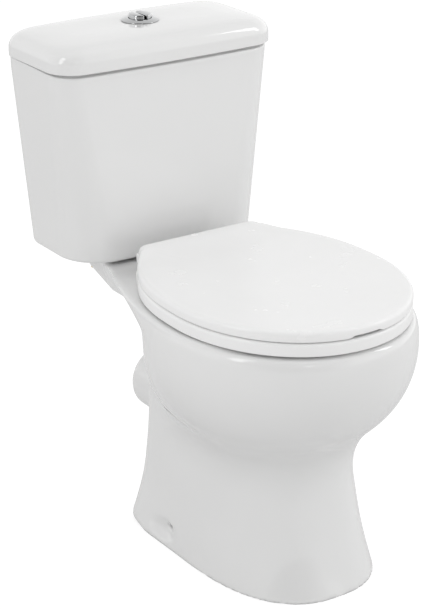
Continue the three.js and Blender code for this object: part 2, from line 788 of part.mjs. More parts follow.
function seatRing() {
  const body = loft([
    { z: RING_BOTTOM, points: seatOutline(3, RING_REAR) },
    { z: RING_BOTTOM + 3, points: seatOutline(0, RING_REAR) },
    { z: RING_TOP - 3, points: seatOutline(0, RING_REAR) },
    { z: RING_TOP, points: seatOutline(2, RING_REAR) },
  ]);
  const hole = loft([
    ringHole(RING_BOTTOM - 1, 4),
    ringHole(RING_BOTTOM + 6, 0),
    ringHole(RING_TOP - 6, 1),
    ringHole(RING_TOP + 1, 8),
  ]);
  const ears = pairs.flatMap(([, side]) => {
    const low = side > 0 ? EAR_IN : -EAR_OUT;
    const high = side > 0 ? EAR_OUT : -EAR_IN;
    return [
      roller(KNUCKLE, low, high, axisY, HINGE_Z),
      box(low, high, backOf(RING_REAR + EAR_REACH), axisY - 1, HINGE_Z - KNUCKLE, HINGE_Z),
      box(low, high, backOf(RING_REAR + EAR_REACH), backOf(RING_REAR + 1), HINGE_Z - 12, HINGE_Z - 6),
    ];
  });
  return cut(join(cut(body, hole), ...ears), roller(PIN_BORE, -100, 100, axisY, HINGE_Z));
}

// The cover: a shallow dish over the ring, with a hood and two cheeks at the back that hide the hinges.
const SKIN = 5;
const HOOD_FRONT = RING_REAR - 1.5;
const CHEEK = 15.3; // radius of the round cheeks that close the ends of the hinge line
const KNUCKLE = 7.5; // radius of the hinge knuckles
// A slit under the cover's front edge for the fingers that lift it.
const SLIT = { half: 25, depth: 16, height: 3 };

// Side view of the raised back of the cover.
const HOOD_PROFILE = [
  [SEAT.rear + 80, COVER_TOP - 3],
  [SEAT.rear + 3, COVER_TOP - 3],
  [SEAT.rear + 2, COVER_REAR_TOP - 1],
  [SEAT.rear + 5, COVER_REAR_TOP],
  [SEAT.rear + 40, COVER_REAR_TOP - 2],
];

function seatCover() {
  const bottom = RING_TOP + 0.8;
  const levels = [[bottom, 1.5], [bottom + 3, 0], [COVER_TOP - 6, 0], [COVER_TOP - 2, 2.5], [COVER_TOP, 8]];
  const body = loft(levels.map(([z, inset]) => ({ z, points: seatOutline(inset) })));
  const rise = sideways(HOOD_PROFILE, -SEAT.backHalf + 4, SEAT.backHalf - 4);
  const hollow = loft([
    { z: bottom - 1, points: seatOutline(7) },
    { z: COVER_TOP - SKIN, points: seatOutline(10) },
  ]);
  const cheeks = pairs.map(([, side]) => {
    const low = side > 0 ? 99.5 : -105;
    const high = side > 0 ? 105 : -99.5;
    const above = box(low - 1, high + 1, axisY - CHEEK, axisY + CHEEK, HINGE_Z + 6, HINGE_Z + CHEEK);
    return cut(roller(CHEEK, low, high, axisY, HINGE_Z, 24), above);
  });
  const rearGap = box(-99, 99, backOf(HOOD_FRONT), backOf(SEAT.rear - 2), bottom - 20, COVER_TOP - SKIN);
  const knuckles = pairs.map(([, side]) => {
    const low = side > 0 ? 90.5 : -101;
    const high = side > 0 ? 101 : -90.5;
    return join(
      roller(KNUCKLE, low, high, axisY, HINGE_Z),
      box(low, high, axisY - KNUCKLE + 0.5, axisY + KNUCKLE - 0.5, HINGE_Z, COVER_TOP - 2),
    );
  });
  const slitBack = backOf(SEAT.front - SLIT.depth);
  const slit = box(-SLIT.half, SLIT.half, backOf(SEAT.front + 2), slitBack, bottom - 1, bottom + SLIT.height);
  const shell = cut(join(body, rise, ...cheeks), hollow, rearGap, slit);
  return cut(join(shell, ...knuckles), roller(PIN_BORE, -99, 99, axisY, HINGE_Z));
}

const GASKET = 1.3;
const STUD_TOP = 414;
function hingePost(side) {
  const plateTop = RIM_TOP + 3.7;
  const plate = cylinder(19, RIM_TOP + GASKET + 2 * GAP, plateTop, 0, 0, 24);
  const inner = -10.3 * side;
  const outer = 10.8 * side;
  const low = Math.min(inner, outer);
  const high = Math.max(inner, outer);
  const column = box(low, high, -8, 5.5, plateTop - 1, HINGE_Z);
  const knuckle = roller(7, low, high, 0, HINGE_Z);
  const studHole = cylinder(4.4, RIM_TOP - 4, STUD_TOP + 2, 0, 0, 16);
  return cut(join(plate, column, knuckle), roller(PIN_BORE, -20, 20, 0, HINGE_Z), studHole);
}

const hingeStud = () => cylinder(BOLT_RADIUS, 340, STUD_TOP, 0, 0, 16);

// The ring's buffers stand on an ellipse above the rim: [name, share of a quarter turn towards the front].
const BUFFER_HALF = 158;
const BUFFER_REACH = 202;
const BUFFER_CENTRE = 430;
const COVER_BUFFER = { x: 142, fromWall: 480 };
const BUFFER_PLACES = [["rear", 0.05], ["front", 0.62]];

// A pad between a low and a high level, with rounded ends, lying along a direction in plan.
function pad(length, width, low, high, angle) {
  const straight = (length - width) / 2;
  const end = (sign) => steps(5).map((t) => {
    const turn = Math.PI * t - Math.PI / 2;
    return [sign * (straight + (width / 2) * Math.cos(turn)), sign * (width / 2) * Math.sin(turn)];
  });
  return extruded([...end(1), ...end(-1)], low, high).rotateZ(angle);
}

// ---------------------------------------------------------------- assembly

add("pan", pan(), CHINA);
add("cistern_tank", tank(), CHINA);
add("cistern_lid", cisternLid(), CHINA);

add("button_bezel", bezel(), CHROME, 0, BUTTON_FROM_WALL);
add("button_collar_nut", tube(19.9, 27, 721, LID_UNDER - GAP), WHITE_PLASTIC, 0, BUTTON_FROM_WALL);
for (const [name, side] of [["full_flush", 1], ["half_flush", -1]]) {
  add(`${name}_button`, buttonCap(side, 2), CHROME, 0, BUTTON_FROM_WALL);
  add(`${name}_push_rod`, pushRod(), WHITE_PLASTIC, side * ROD_X, BUTTON_FROM_WALL);
  const coil = spring(BEZEL_FLOOR + GAP, BUTTON_BOTTOM - GAP, 4.4, 0.6, 4);
  add(`${name}_return_spring`, coil, STEEL, side * ROD_X, BUTTON_FROM_WALL);
}

add("flush_valve_base", valveBase(), WHITE_PLASTIC, 0, BUTTON_FROM_WALL);
add("flush_valve_cage", valveCage(), WHITE_PLASTIC, 0, BUTTON_FROM_WALL);
add("flush_valve_head", valveHead(), BLUE_PLASTIC, 0, BUTTON_FROM_WALL);
add("flush_valve_overflow_tube", overflowTube(), WHITE_PLASTIC, 0, BUTTON_FROM_WALL);
add("flush_valve_seal", flushSeal(), RUBBER, 0, BUTTON_FROM_WALL);
const valveNut = hexNut(30, 76, BACK_NUT_BOTTOM, TANK_FLOOR - GAP);
add("flush_valve_back_nut", valveNut, WHITE_PLASTIC, 0, BUTTON_FROM_WALL);
add("doughnut_washer", tube(31, 45, INLET_LEDGE + GAP, BACK_NUT_BOTTOM - GAP), RUBBER, 0, BUTTON_FROM_WALL);

add("fill_valve_body", fillBody(), WHITE_PLASTIC, FILL_X, FILL_FROM_WALL);
add("fill_valve_head", fillHead(), BLUE_PLASTIC, FILL_X, FILL_FROM_WALL);
add("fill_valve_float", floatCup(), WHITE_PLASTIC, FILL_X, FILL_FROM_WALL);
add("fill_valve_lever", fillLever(), WHITE_PLASTIC, FILL_X, FILL_FROM_WALL);
add("fill_valve_lever_pin", leverPin(), STEEL, FILL_X, FILL_FROM_WALL);
const fillWasher = tube(10.8, 14.8, TANK_INSIDE_Z + GAP, TANK_INSIDE_Z + 3);
add("fill_valve_washer", fillWasher, RUBBER, FILL_X, FILL_FROM_WALL);
const fillNut = hexNut(10.6, 26, BACK_NUT_BOTTOM, TANK_FLOOR - GAP);
add("fill_valve_back_nut", fillNut, WHITE_PLASTIC, FILL_X, FILL_FROM_WALL);

for (const [name, side] of pairs) {
  const x = side * BOLT_X;
  const floor = TANK_INSIDE_Z;
  const head = hexagon(13, floor + 6 + 2 * GAP, floor + 12);
  const bolt = join(head, cylinder(BOLT_RADIUS, 348, floor + 8, 0, 0, 16));
  add(`coupling_bolt_${name}`, bolt, BRASS, x, BUTTON_FROM_WALL);
  const seal = tube(BOLT_CLEARANCE, 13, floor + GAP, floor + 4);
  add(`coupling_bolt_seal_${name}`, seal, RUBBER, x, BUTTON_FROM_WALL);
  const upperWasher = tube(BOLT_CLEARANCE, 11, floor + 4 + GAP, floor + 6);
  add(`coupling_bolt_washer_${name}`, upperWasher, STEEL, x, BUTTON_FROM_WALL);
  const supportPad = tube(7, 17, DECK_TOP + GAP, TANK_FLOOR - GAP);
  add(`cistern_support_pad_${name}`, supportPad, RUBBER, x, BUTTON_FROM_WALL);
  const washerBottom = BOLT_RECESS.top - 2;
  const lowerWasher = tube(BOLT_CLEARANCE, 13, washerBottom, BOLT_RECESS.top - GAP);
  add(`coupling_lower_washer_${name}`, lowerWasher, STEEL, x, BUTTON_FROM_WALL);
  const couplingNut = wingNut(BOLT_CLEARANCE, washerBottom - 10, washerBottom - GAP);
  add(`coupling_wing_nut_${name}`, couplingNut, BRASS, x, BUTTON_FROM_WALL);
}

add("seat_ring", seatRing(), SEAT_WHITE);
add("seat_cover", seatCover(), SEAT_WHITE);
for (const [name, side] of pairs) {
  const x = side * HINGE_X;
  add(`hinge_post_${name}`, hingePost(side), CHROME, x, HINGE_FROM_WALL);
  const gasket = tube(4.8, 19, RIM_TOP + GAP, RIM_TOP + GASKET);
  add(`hinge_gasket_${name}`, gasket, RUBBER, x, HINGE_FROM_WALL);
  add(`hinge_stud_${name}`, hingeStud(), STEEL, x, HINGE_FROM_WALL);
  add(`hinge_wing_nut_${name}`, wingNut(BOLT_CLEARANCE, 363, 374 - GAP), WHITE_PLASTIC, x, HINGE_FROM_WALL);
  const pin = roller(3, side > 0 ? 56 : -98, side > 0 ? 98 : -56, 0, HINGE_Z);
  add(`hinge_pin_${name}`, pin, STEEL, 0, HINGE_FROM_WALL);
  for (const [place, turn] of BUFFER_PLACES) {
    const angle = (turn * Math.PI) / 2;
    const buffer = pad(26, 11, RIM_TOP + GAP, RING_BOTTOM - GAP, Math.PI / 2 + side * angle);
    const padX = side * BUFFER_HALF * Math.cos(angle);
    const padFromWall = BUFFER_CENTRE + BUFFER_REACH * Math.sin(angle);
    add(`ring_buffer_${place}_${name}`, buffer, RUBBER, padX, padFromWall);
  }
  const coverPad = cylinder(6, RING_TOP + GAP, COVER_TOP - SKIN - GAP, 0, 0, 16);
  add(`cover_buffer_${name}`, coverPad, RUBBER, side * COVER_BUFFER.x, COVER_BUFFER.fromWall);
}

export default object;
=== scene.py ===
"""The looks of a close coupled toilet: glazed china, a plastic seat and a chrome push button.

Shapes are written in millimetres as x, distance from the wall and height, the way the CAD part is, and
turned into the frame's metres when a mesh is made. Replaced CAD nodes repeat the part's own outlines, with
finer steps, rounded edges and fillets.
"""
import json
import math

import bmesh
import bpy
import numpy as np
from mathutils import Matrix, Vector


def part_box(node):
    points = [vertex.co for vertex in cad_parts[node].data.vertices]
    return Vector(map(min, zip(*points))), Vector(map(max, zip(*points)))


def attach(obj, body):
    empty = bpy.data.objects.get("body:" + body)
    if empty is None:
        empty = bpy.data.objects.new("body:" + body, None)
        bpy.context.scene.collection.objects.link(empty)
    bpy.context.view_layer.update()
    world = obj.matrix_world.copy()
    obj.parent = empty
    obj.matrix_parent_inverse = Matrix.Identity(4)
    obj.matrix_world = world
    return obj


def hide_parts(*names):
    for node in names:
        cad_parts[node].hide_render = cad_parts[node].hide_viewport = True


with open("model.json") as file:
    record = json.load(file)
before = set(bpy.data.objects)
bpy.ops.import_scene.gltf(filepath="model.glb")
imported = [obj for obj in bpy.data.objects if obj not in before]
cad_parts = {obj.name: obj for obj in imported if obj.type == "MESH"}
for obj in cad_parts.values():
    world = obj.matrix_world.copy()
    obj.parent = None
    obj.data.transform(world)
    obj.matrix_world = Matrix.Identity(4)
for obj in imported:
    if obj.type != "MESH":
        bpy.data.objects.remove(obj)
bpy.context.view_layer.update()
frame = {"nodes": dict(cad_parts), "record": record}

MM = 0.001
WALL_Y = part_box("cistern_lid")[1].y / MM
SLOT_OF = {row["node"]: row["material_slot"] for row in frame["record"]["subparts"]}
BODY_OF = {
    node: body for body, nodes in frame["record"]["behaviour"]["bodies"].items() for node in nodes
}

# ---------------------------------------------------------------- driving dimensions

PROJECTION = 660.0  # wall to the front of the bowl
GAP = 0.3

RIM_TOP = 404.0
DECK_TOP = 398.0
BOWL_WIDEST_Z = 363.0
RIM_INSET = 14.0
RIM_POWER = 2.8
DECK_RAMP = (192.0, 262.0)  # where the deck climbs to the level of the rim
DECK_THICK = 24.0
COUPLING_X = 76.0
BULGE_DROP = 186.0
BOWL = dict(half=190.0, widest=425.0, front=PROJECTION, rear=225.0, power=2.25, rear_power=1.7)

TANK_FLOOR = 403.5
TANK_TOP = 702.0
TANK_WALL = 10.0
LID_HALF = 193.0
LID_FRONT = 183.0
LID_TOP = 744.0
BUTTON_FROM_WALL = 84.0

SEAT = dict(rear=232.0, back_half=106.0, half=178.0, widest=450.0, front=656.0, power=2.05, corner=14.0)
SEAT_FLANK = 2.5
RING_BOTTOM = 408.0
RING_TOP = 427.0
RING_REAR = 264.0
COVER_TOP = 443.0
COVER_REAR_TOP = 448.0
HINGE_X = 77.5
HINGE_FROM_WALL = 248.0
HINGE_Z = 430.0

# ---------------------------------------------------------------- materials


class Nodes:
    """A short way to write a node tree."""

    def __init__(self, tree):
        self.tree = tree
        tree.nodes.clear()

    def add(self, kind, inputs=None, **settings):
        node = self.tree.nodes.new(kind)
        for name, value in settings.items():
            setattr(node, name, value)
        for name, value in (inputs or {}).items():
            if isinstance(value, bpy.types.NodeSocket):
                self.tree.links.new(value, node.inputs[name])
            else:
                node.inputs[name].default_value = value
        return node

    def noise(self, scale, detail=3.0):
        place = self.add("ShaderNodeTexCoord").outputs["Object"]
        node = self.add("ShaderNodeTexNoise", {"Vector": place, "Scale": scale, "Detail": detail})
        return node.outputs["Fac"]

    def between(self, value, low, high):
        """A noise value carried onto a range of numbers."""
        settings = {"Value": value, "From Min": 0.3, "From Max": 0.7, "To Min": low, "To Max": high}
        return self.add("ShaderNodeMapRange", settings).outputs["Result"]

    def tint(self, value, dark, light):
        node = self.add("ShaderNodeMix", {"Factor": value}, data_type="RGBA")
        node.inputs[6].default_value = (*dark, 1.0)
        node.inputs[7].default_value = (*light, 1.0)
        return node.outputs[2]

    def bump(self, height, depth, strength=1.0, normal=None):
        inputs = {"Height": height, "Distance": depth, "Strength": strength}
        if normal is not None:
            inputs["Normal"] = normal
        return self.add("ShaderNodeBump", inputs).outputs["Normal"]


def surface(name, dark, light, rough, mottle, waves, grain, **constants):
    """A moulded, cast or turned surface. Its colour drifts between two tints, its roughness varies over a
    range, and two bumps, each a (scale, depth), give it broad waves and a fine grain."""
    material = bpy.data.materials.new(name)
    material.use_nodes = True
    nodes = Nodes(material.node_tree)
    drift = nodes.between(nodes.noise(mottle), 0.0, 1.0)
    smear = nodes.between(nodes.noise(mottle * 4.0, 5.0), *rough)
    normal = nodes.bump(nodes.noise(waves[0], 1.0), waves[1])
    normal = nodes.bump(nodes.noise(grain[0], 4.0), grain[1], 0.6, normal)
    inputs = {"Base Color": nodes.tint(drift, dark, light), "Roughness": smear, "Normal": normal}
    shader = nodes.add("ShaderNodeBsdfPrincipled", {**inputs, **constants})
    nodes.add("ShaderNodeOutputMaterial", {"Surface": shader.outputs["BSDF"]})
    return material


def china():
    """Vitreous china: a clear hard glaze over a white body, slightly uneven where the glaze pooled."""
    return surface(
        "china", (0.775, 0.775, 0.772), (0.79, 0.79, 0.788), (0.05, 0.09), 5.0, (7.0, 0.0006),
        (120.0, 0.000006), **{"Coat Weight": 0.5, "Coat Roughness": 0.03, "IOR": 1.5},
    )


def seat_plastic():
    return surface(
        "seat", (0.86, 0.86, 0.857), (0.875, 0.875, 0.873), (0.2, 0.28), 7.0, (9.0, 0.0002),
        (120.0, 0.000004), **{"IOR": 1.5},
    )


def chrome():
    return surface(
        "chrome", (0.53, 0.535, 0.54), (0.58, 0.585, 0.59), (0.03, 0.07), 30.0, (40.0, 0.00008),
        (400.0, 0.000002), **{"Metallic": 1.0},
    )


def steel():
    return surface(
        "steel", (0.5, 0.51, 0.53), (0.62, 0.63, 0.65), (0.24, 0.42), 60.0, (90.0, 0.00008),
        (1600.0, 0.00001), **{"Metallic": 1.0},
    )


def brass():
    return surface(
        "brass", (0.62, 0.44, 0.17), (0.76, 0.57, 0.26), (0.22, 0.4), 45.0, (90.0, 0.0001),
        (1400.0, 0.00001), **{"Metallic": 1.0},
    )


def rubber():
    return surface(
        "rubber", (0.02, 0.02, 0.021), (0.035, 0.035, 0.036), (0.6, 0.85), 50.0, (80.0, 0.0001),
        (1500.0, 0.00003), **{"IOR": 1.45},
    )


def white_plastic():
    return surface(
        "white_plastic", (0.74, 0.74, 0.72), (0.8, 0.8, 0.785), (0.35, 0.5), 25.0, (40.0, 0.0002),
        (1200.0, 0.00002), **{"IOR": 1.49},
    )


def blue_plastic():
    return surface(
        "blue_plastic", (0.04, 0.13, 0.3), (0.055, 0.17, 0.37), (0.32, 0.48), 25.0, (40.0, 0.0002),
        (1200.0, 0.00002), **{"IOR": 1.49},
    )


MATERIALS = {
    make.__name__: make()
    for make in (china, chrome, steel, brass, rubber, white_plastic, blue_plastic)
}
MATERIALS["seat"] = seat_plastic()

# ---------------------------------------------------------------- meshes


def in_frame(points):
    """Millimetres as x, distance from the wall and height, in the frame's metres."""
    points = np.asarray(points, float)
    return np.column_stack([points[:, 0], WALL_Y - points[:, 1], points[:, 2]]) * MM


def loft(rings, closed=False):
    """A skin over rings with equal point counts. A closed one joins its last ring to its first, and an open
    one has flat ends."""
    count = len(rings[0])
    levels = len(rings)
    last = levels if closed else levels - 1
    around = np.arange(count)
    faces = []
    for level in range(last):
        low = level * count
        high = (level + 1) % levels * count
        onward = (around + 1) % count
        quads = np.column_stack([low + around, low + onward, high + onward, high + around])
        faces.extend(quads.tolist())
    if not closed:
        faces.append(list(range(count)))
        faces.append(list(range((levels - 1) * count, levels * count)))
    return np.vstack(rings), faces


def joined(*shapes):
    points, faces, start = [], [], 0
    for own_points, own_faces in shapes:
        points.append(own_points)
        faces.extend([[start + i for i in face] for face in own_faces])
        start += len(own_points)
    return np.vstack(points), faces


def piece(name, shape, *nodes, sharp=50.0):
    """Makes the object that stands for the given CAD nodes, on their body and with their finish. Edges that
    turn by more than the sharp angle in degrees stay crisp."""
    points, faces = shape
    mesh = bpy.data.meshes.new(name)
    mesh.from_pydata(in_frame(points).tolist(), [], faces)
    work = bmesh.new()
    work.from_mesh(mesh)
    bmesh.ops.recalc_face_normals(work, faces=work.faces)
    work.to_mesh(mesh)
    work.free()
    mesh.shade_smooth()
    mesh.set_sharp_from_angle(angle=math.radians(sharp))
    made = bpy.data.objects.new(name, mesh)
    bpy.context.scene.collection.objects.link(made)
    finish = SLOT_OF[nodes[0]]
    mesh.materials.append(MATERIALS[finish])
    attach(made, BODY_OF[nodes[0]])
    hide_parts(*nodes)
    return made


# ---------------------------------------------------------------- curves and outlines


def steps(count):
    return np.linspace(0.0, 1.0, count + 1)


def smoothly(rows, at):
    """A table's columns at places along its first column, with smooth slopes through every row."""
    table = np.asarray(rows, float)
    keys = table[:, 0]
    values = table[:, 1:]
    slopes = np.gradient(values, keys, axis=0)
    at = np.clip(at, keys[0], keys[-1])
    low = np.clip(np.searchsorted(keys, at, side="right") - 1, 0, len(keys) - 2)
    span = keys[low + 1] - keys[low]
    t = ((at - keys[low]) / span)[..., None]
    span = span[..., None]
    ahead = t * t * (3.0 - 2.0 * t)
    bend = t * (1.0 - t) ** 2 * span * slopes[low] - t * t * (1.0 - t) * span * slopes[low + 1]
    return np.moveaxis(values[low] * (1.0 - ahead) + values[low + 1] * ahead + bend, -1, 0)


def rounded(corners, pieces=6):
    """A path through (a, b, rounding) corners, each turned in a smooth bend that long."""
    points = [corners[0][:2]]
    for before, here, after in zip(corners, corners[1:], corners[2:]):
        corner = np.array(here[:2])
        back = np.array(before[:2]) - corner
        onward = np.array(after[:2]) - corner
        enter = corner + back * min(here[2] / max(np.linalg.norm(back), 1e-6), 0.5)
        leave = corner + onward * min(here[2] / max(np.linalg.norm(onward), 1e-6), 0.5)
        for t in steps(pieces):
            points.append((1 - t) ** 2 * enter + 2 * t * (1 - t) * corner + t * t * leave)
    points.append(corners[-1][:2])
    return [(float(a), float(b)) for a, b in points]


def mirrored(half, spacing=1.2):
    """A closed outline from its right-hand half, which runs from the front centre to the back centre. Its
    points are shared out evenly."""
    half = np.asarray(half, float)
    whole = np.vstack([half, half[:-1][::-1] * [-1.0, 1.0]])
    length = np.concatenate([[0.0], np.cumsum(np.linalg.norm(np.diff(whole, axis=0), axis=1))])
    places = steps(2 * int(length[-1] / spacing / 2))[:-1] * length[-1]
    return np.column_stack([np.interp(places, length, whole[:, k]) for k in (0, 1)])


def arc(middle_x, middle, radius, start, end, count=24):
    turn = start + (end - start) * steps(count)
    return np.column_stack([middle_x + radius * np.sin(turn), middle + radius * np.cos(turn)])


def boxed(half, front, rear, front_corner, rear_corner, bow):
    """A box with rounded corners whose front bows outwards."""
    start = half - front_corner
    face_x = steps(24) * start
    face = np.column_stack([face_x, front - bow * (face_x / half) ** 2])
    fore = arc(start, face[-1, 1] - front_corner, front_corner, 0.0, math.pi / 2)
    aft = arc(half - rear_corner, rear + rear_corner, rear_corner, math.pi / 2, math.pi)
    return mirrored(np.vstack([face, fore[1:], aft, [[0.0, rear]]]))


def nose(half, near, far, power, count=60):
    """A quarter of a superellipse from (0, far) to (half, near)."""
    turn = steps(count) * math.pi / 2
    across = np.sin(turn) ** (2.0 / power)
    along = np.clip(np.cos(turn), 0.0, 1.0) ** (2.0 / power)
    return np.column_stack([half * across, near + (far - near) * along])


def angles_of(outline, centre):
    return np.unwrap(np.arctan2(outline[:, 0], outline[:, 1] - centre))


def spaced_angles(outline, centre, count):
    """The directions from a centre that share an outline out evenly."""
    ring = np.vstack([outline, outline[:1]])
    length = np.concatenate([[0.0], np.cumsum(np.linalg.norm(np.diff(ring, axis=0), axis=1))])
    return np.interp(steps(count)[:-1] * length[-1], length, angles_of(ring, centre))


def seen_from(outline, centre, angles):
    """The outline's points in the given directions from a centre."""
    directions = angles_of(outline, centre)
    reach = np.hypot(outline[:, 0], outline[:, 1] - centre)
    distance = np.interp(angles, directions, reach, period=2.0 * math.pi)
    return np.column_stack([distance * np.sin(angles), centre + distance * np.cos(angles)])


def at_height(outline, z):
    return np.column_stack([outline, np.broadcast_to(z, len(outline))])


def smoothstep(value):
    t = np.clip(value, 0.0, 1.0)
    return t * t * (3.0 - 2.0 * t)


# ---------------------------------------------------------------- pan, as a distance field

FOOT = dict(widest=400.0, rear=228.0, power=2.5, corner=27.0, waist=1.5)
# height, front, half width, half width at the back
PEDESTAL = [
    (0, 612, 131, 133),
    (30, 602, 124, 121),
    (75, 589, 115, 107),
    (130, 577, 108, 99),
    (200, 563, 101, 94),
    (290, 549, 95, 90),
    (345, 540, 78, 62),
]
# height, rear, half width at the back, half width at the bowl, how hollow the sides are
SHOULDER = [
    (200, 245, 60, 66, 3.5),
    (235, 238, 68, 82, 3.5),
    (265, 228, 74, 105, 3.5),
    (290, 208, 74, 142, 3.5),
    (318, 182, 76, 168, 3.5),
    (341, 158, 84, 184, 3.5),
    (363, 144, 104, 188, 2.8),
    (380, 140, 111, 187, 1.8),
    (398, 140, 115, 184, 1.05),
]
SHOULDER_FRONT = 560.0
SHOULDER_CORNER = 16.0
# height, half width, front, rear, widest
BOWL_INSIDE = [
    (112, 36, 478, 402, 440),
    (150, 46, 490, 388, 440),
    (190, 66, 512, 370, 438),
    (220, 102, 550, 346, 436),
    (255, 140, 596, 318, 432),
    (300, 163, 626, 290, 430),
    (345, 170, 636, 280, 430),
    (370, 170, 636, 280, 430),
]
RIM_INSIDE = dict(half=134.0, widest=440.0, front=612.0, rear=294.0, power=2.25)
RIM_FLARE = dict(width=7.0, start=396.0, height=9.0)
BOX_RIM_BOTTOM = 370.0
SHELF = dict(half=101.0, rear=28.0, front=260.0, corner=12.0, bottom=344.0, slope=0.311, deepest=150.0)
SPIGOT = dict(radius=53.0, end=128.0, root=260.0, z=172.5)
TRAP_BORE = 36.0
TRAP_WALL = 9.0
CHANNEL = dict(radius=17.0, z=360.0, start=84.0, end=300.0, wall=11.0)
# x, distance from the wall, radius, bottom, top
DECK_HOLES = [
    (0.0, BUTTON_FROM_WALL, 46.0, 373.0, 420.0),  # pocket for the doughnut washer
    (0.0, BUTTON_FROM_WALL, 30.0, 342.0, 376.0),  # down to the flush channel
    (COUPLING_X, BUTTON_FROM_WALL, 6.0, 300.0, 420.0),  # coupling bolts
    (COUPLING_X, BUTTON_FROM_WALL, 19.4, 300.0, 380.0),  # room for their wing nuts
    (HINGE_X, HINGE_FROM_WALL, 6.0, 300.0, 420.0),  # hinge studs
]
NECK = dict(rear=262.0, low=90.0, high=275.0)
HEEL = dict(extra=17.0, start=300.0, length=60.0)
FOOT_POCKET = dict(x=130.0, d=330.0, z=26.0, deep=12.0, long=34.0, high=17.0, wall=9.0)
FOOT_SLOT = dict(d=343.0, z=29.0, half=3.0, radius=3.6, depth_x=84.0)
WEIR_ROUTE = [(300, 234), (266, 220), (246, 197), (226, 180), (200, 173.5)]
TRAP_ROUTE = [
    (444, 172), (444, 158), (430, 124), (396, 110), (362, 124), (348, 158), (348, 186), (334, 220),
    *WEIR_ROUTE, (110, SPIGOT["z"]),
]
PAN_WALL = 12.0
# how wide each join is smoothed, where neck is (bend, least)
FILLET = dict(neck=(40.0, 30.0), shoulder=46.0, shelf=34.0, deck=6.0, trap=26.0, spigot=12.0, floor=2.5)
FAR = 60.0  # what a field says where it isn't worked out


def smooth_min(a, b, width):
    """The lower of two fields, with a fillet that wide where they meet."""
    share = np.clip(1.0 - np.abs(a - b) / width, 0.0, 1.0)
    return np.minimum(a, b) - share * share * width / 4.0


def smooth_max(a, b, width):
    return -smooth_min(-a, -b, width)


def egg_field(x, d, half, widest, front, rear, power, rear_power=None):
    """Below zero inside an egg in plan, whose two ends can be squared differently."""
    ahead = d > widest
    bend = np.where(ahead, power, power if rear_power is None else rear_power)
    reach = np.where(ahead, front - widest, widest - rear)
    along = np.abs(d - widest) / np.maximum(reach, 1.0)
    across = np.abs(x) / np.maximum(half, 1.0)
    return ((across**bend + along**bend) ** (1.0 / bend) - 1.0) * half


def bullet_field(x, d, half, widest, front, rear, power, back_half, corner, waist):
    """Below zero inside a rounded nose whose sides draw in to a flat back with rounded corners."""
    share = np.clip((widest - d) / (widest - rear - corner), 0.0, 1.0)
    width = back_half + (half - back_half) * np.cos(share * math.pi / 2) ** waist
    side = np.abs(x) - width + corner
    back = rear + corner - d
    turned = np.hypot(np.maximum(side, 0.0), np.maximum(back, 0.0))
    flank = turned + np.minimum(np.maximum(side, back), 0.0) - corner
    nose_field = egg_field(x, d, half, widest, front, rear, power)
    return np.where(d > widest, nose_field, flank)


def bowl_field(x, d, z):
    """An egg that closes below its widest level like an ellipsoid, and turns over a rounded rim above it.
    Lower sections are longer and fuller at the back."""
    fall = np.maximum((BOWL_WIDEST_Z - z) / BULGE_DROP, 0.0)
    stretch = 1.0 + 0.25 * fall**2 + 0.45 * fall**6
    rear = BOWL["widest"] - (BOWL["widest"] - BOWL["rear"]) * stretch
    rear_power = BOWL["rear_power"] + 1.6 * fall**2 + fall**8
    plan = egg_field(x, d, **{**BOWL, "rear": rear, "rear_power": rear_power})
    below = (np.hypot(plan / BOWL["half"] + 1.0, fall) - 1.0) * BOWL["half"]
    climb = (z - BOWL_WIDEST_Z) / (RIM_TOP - BOWL_WIDEST_Z)
    across = np.maximum(plan / RIM_INSET + 1.0, 0.0)
    turn = across**RIM_POWER + np.maximum(climb, 0.0) ** RIM_POWER
    above = (turn ** (1.0 / RIM_POWER) - 1.0) * RIM_INSET
    return np.where(z > BOWL_WIDEST_Z, above, below)


def pedestal_field(x, d, z):
    front, half, back_half = smoothly(PEDESTAL, z)
    return bullet_field(x, d, front=front, half=half, back_half=back_half, **FOOT)


def shoulder_field(x, d, z):
    """The china between the bowl and the cistern's shelf, wider upwards."""
    rear, back_half, half, waist = smoothly(SHOULDER, z)
    widest, power = BOWL["widest"], BOWL["power"]
    shape = dict(half=half, back_half=back_half, widest=widest, front=SHOULDER_FRONT, rear=rear)
    return bullet_field(x, d, **shape, power=power, corner=SHOULDER_CORNER, waist=waist)


def shelf_field(x, d, z):
    """The shelf that carries the cistern, thinner towards the wall."""
    shape, corner = SHELF, SHELF["corner"]
    side = np.abs(x) - shape["half"] + corner
    end = np.maximum(shape["rear"] - d, d - shape["front"]) + corner
    turned = np.hypot(np.maximum(side, 0.0), np.maximum(end, 0.0))
    plan = turned + np.minimum(np.maximum(side, end), 0.0) - corner
    bottom = shape["bottom"] + shape["slope"] * np.maximum(shape["deepest"] - d, 0.0)
    return smooth_max(plan, bottom - z, 14.0)


def spigot_field(x, d, z):
    """The waste outlet, a level round stub."""
    round_wall = np.hypot(x, z - SPIGOT["z"]) - SPIGOT["radius"]
    return smooth_max(np.maximum(round_wall, d - SPIGOT["root"]), SPIGOT["end"] - d, 5.0)


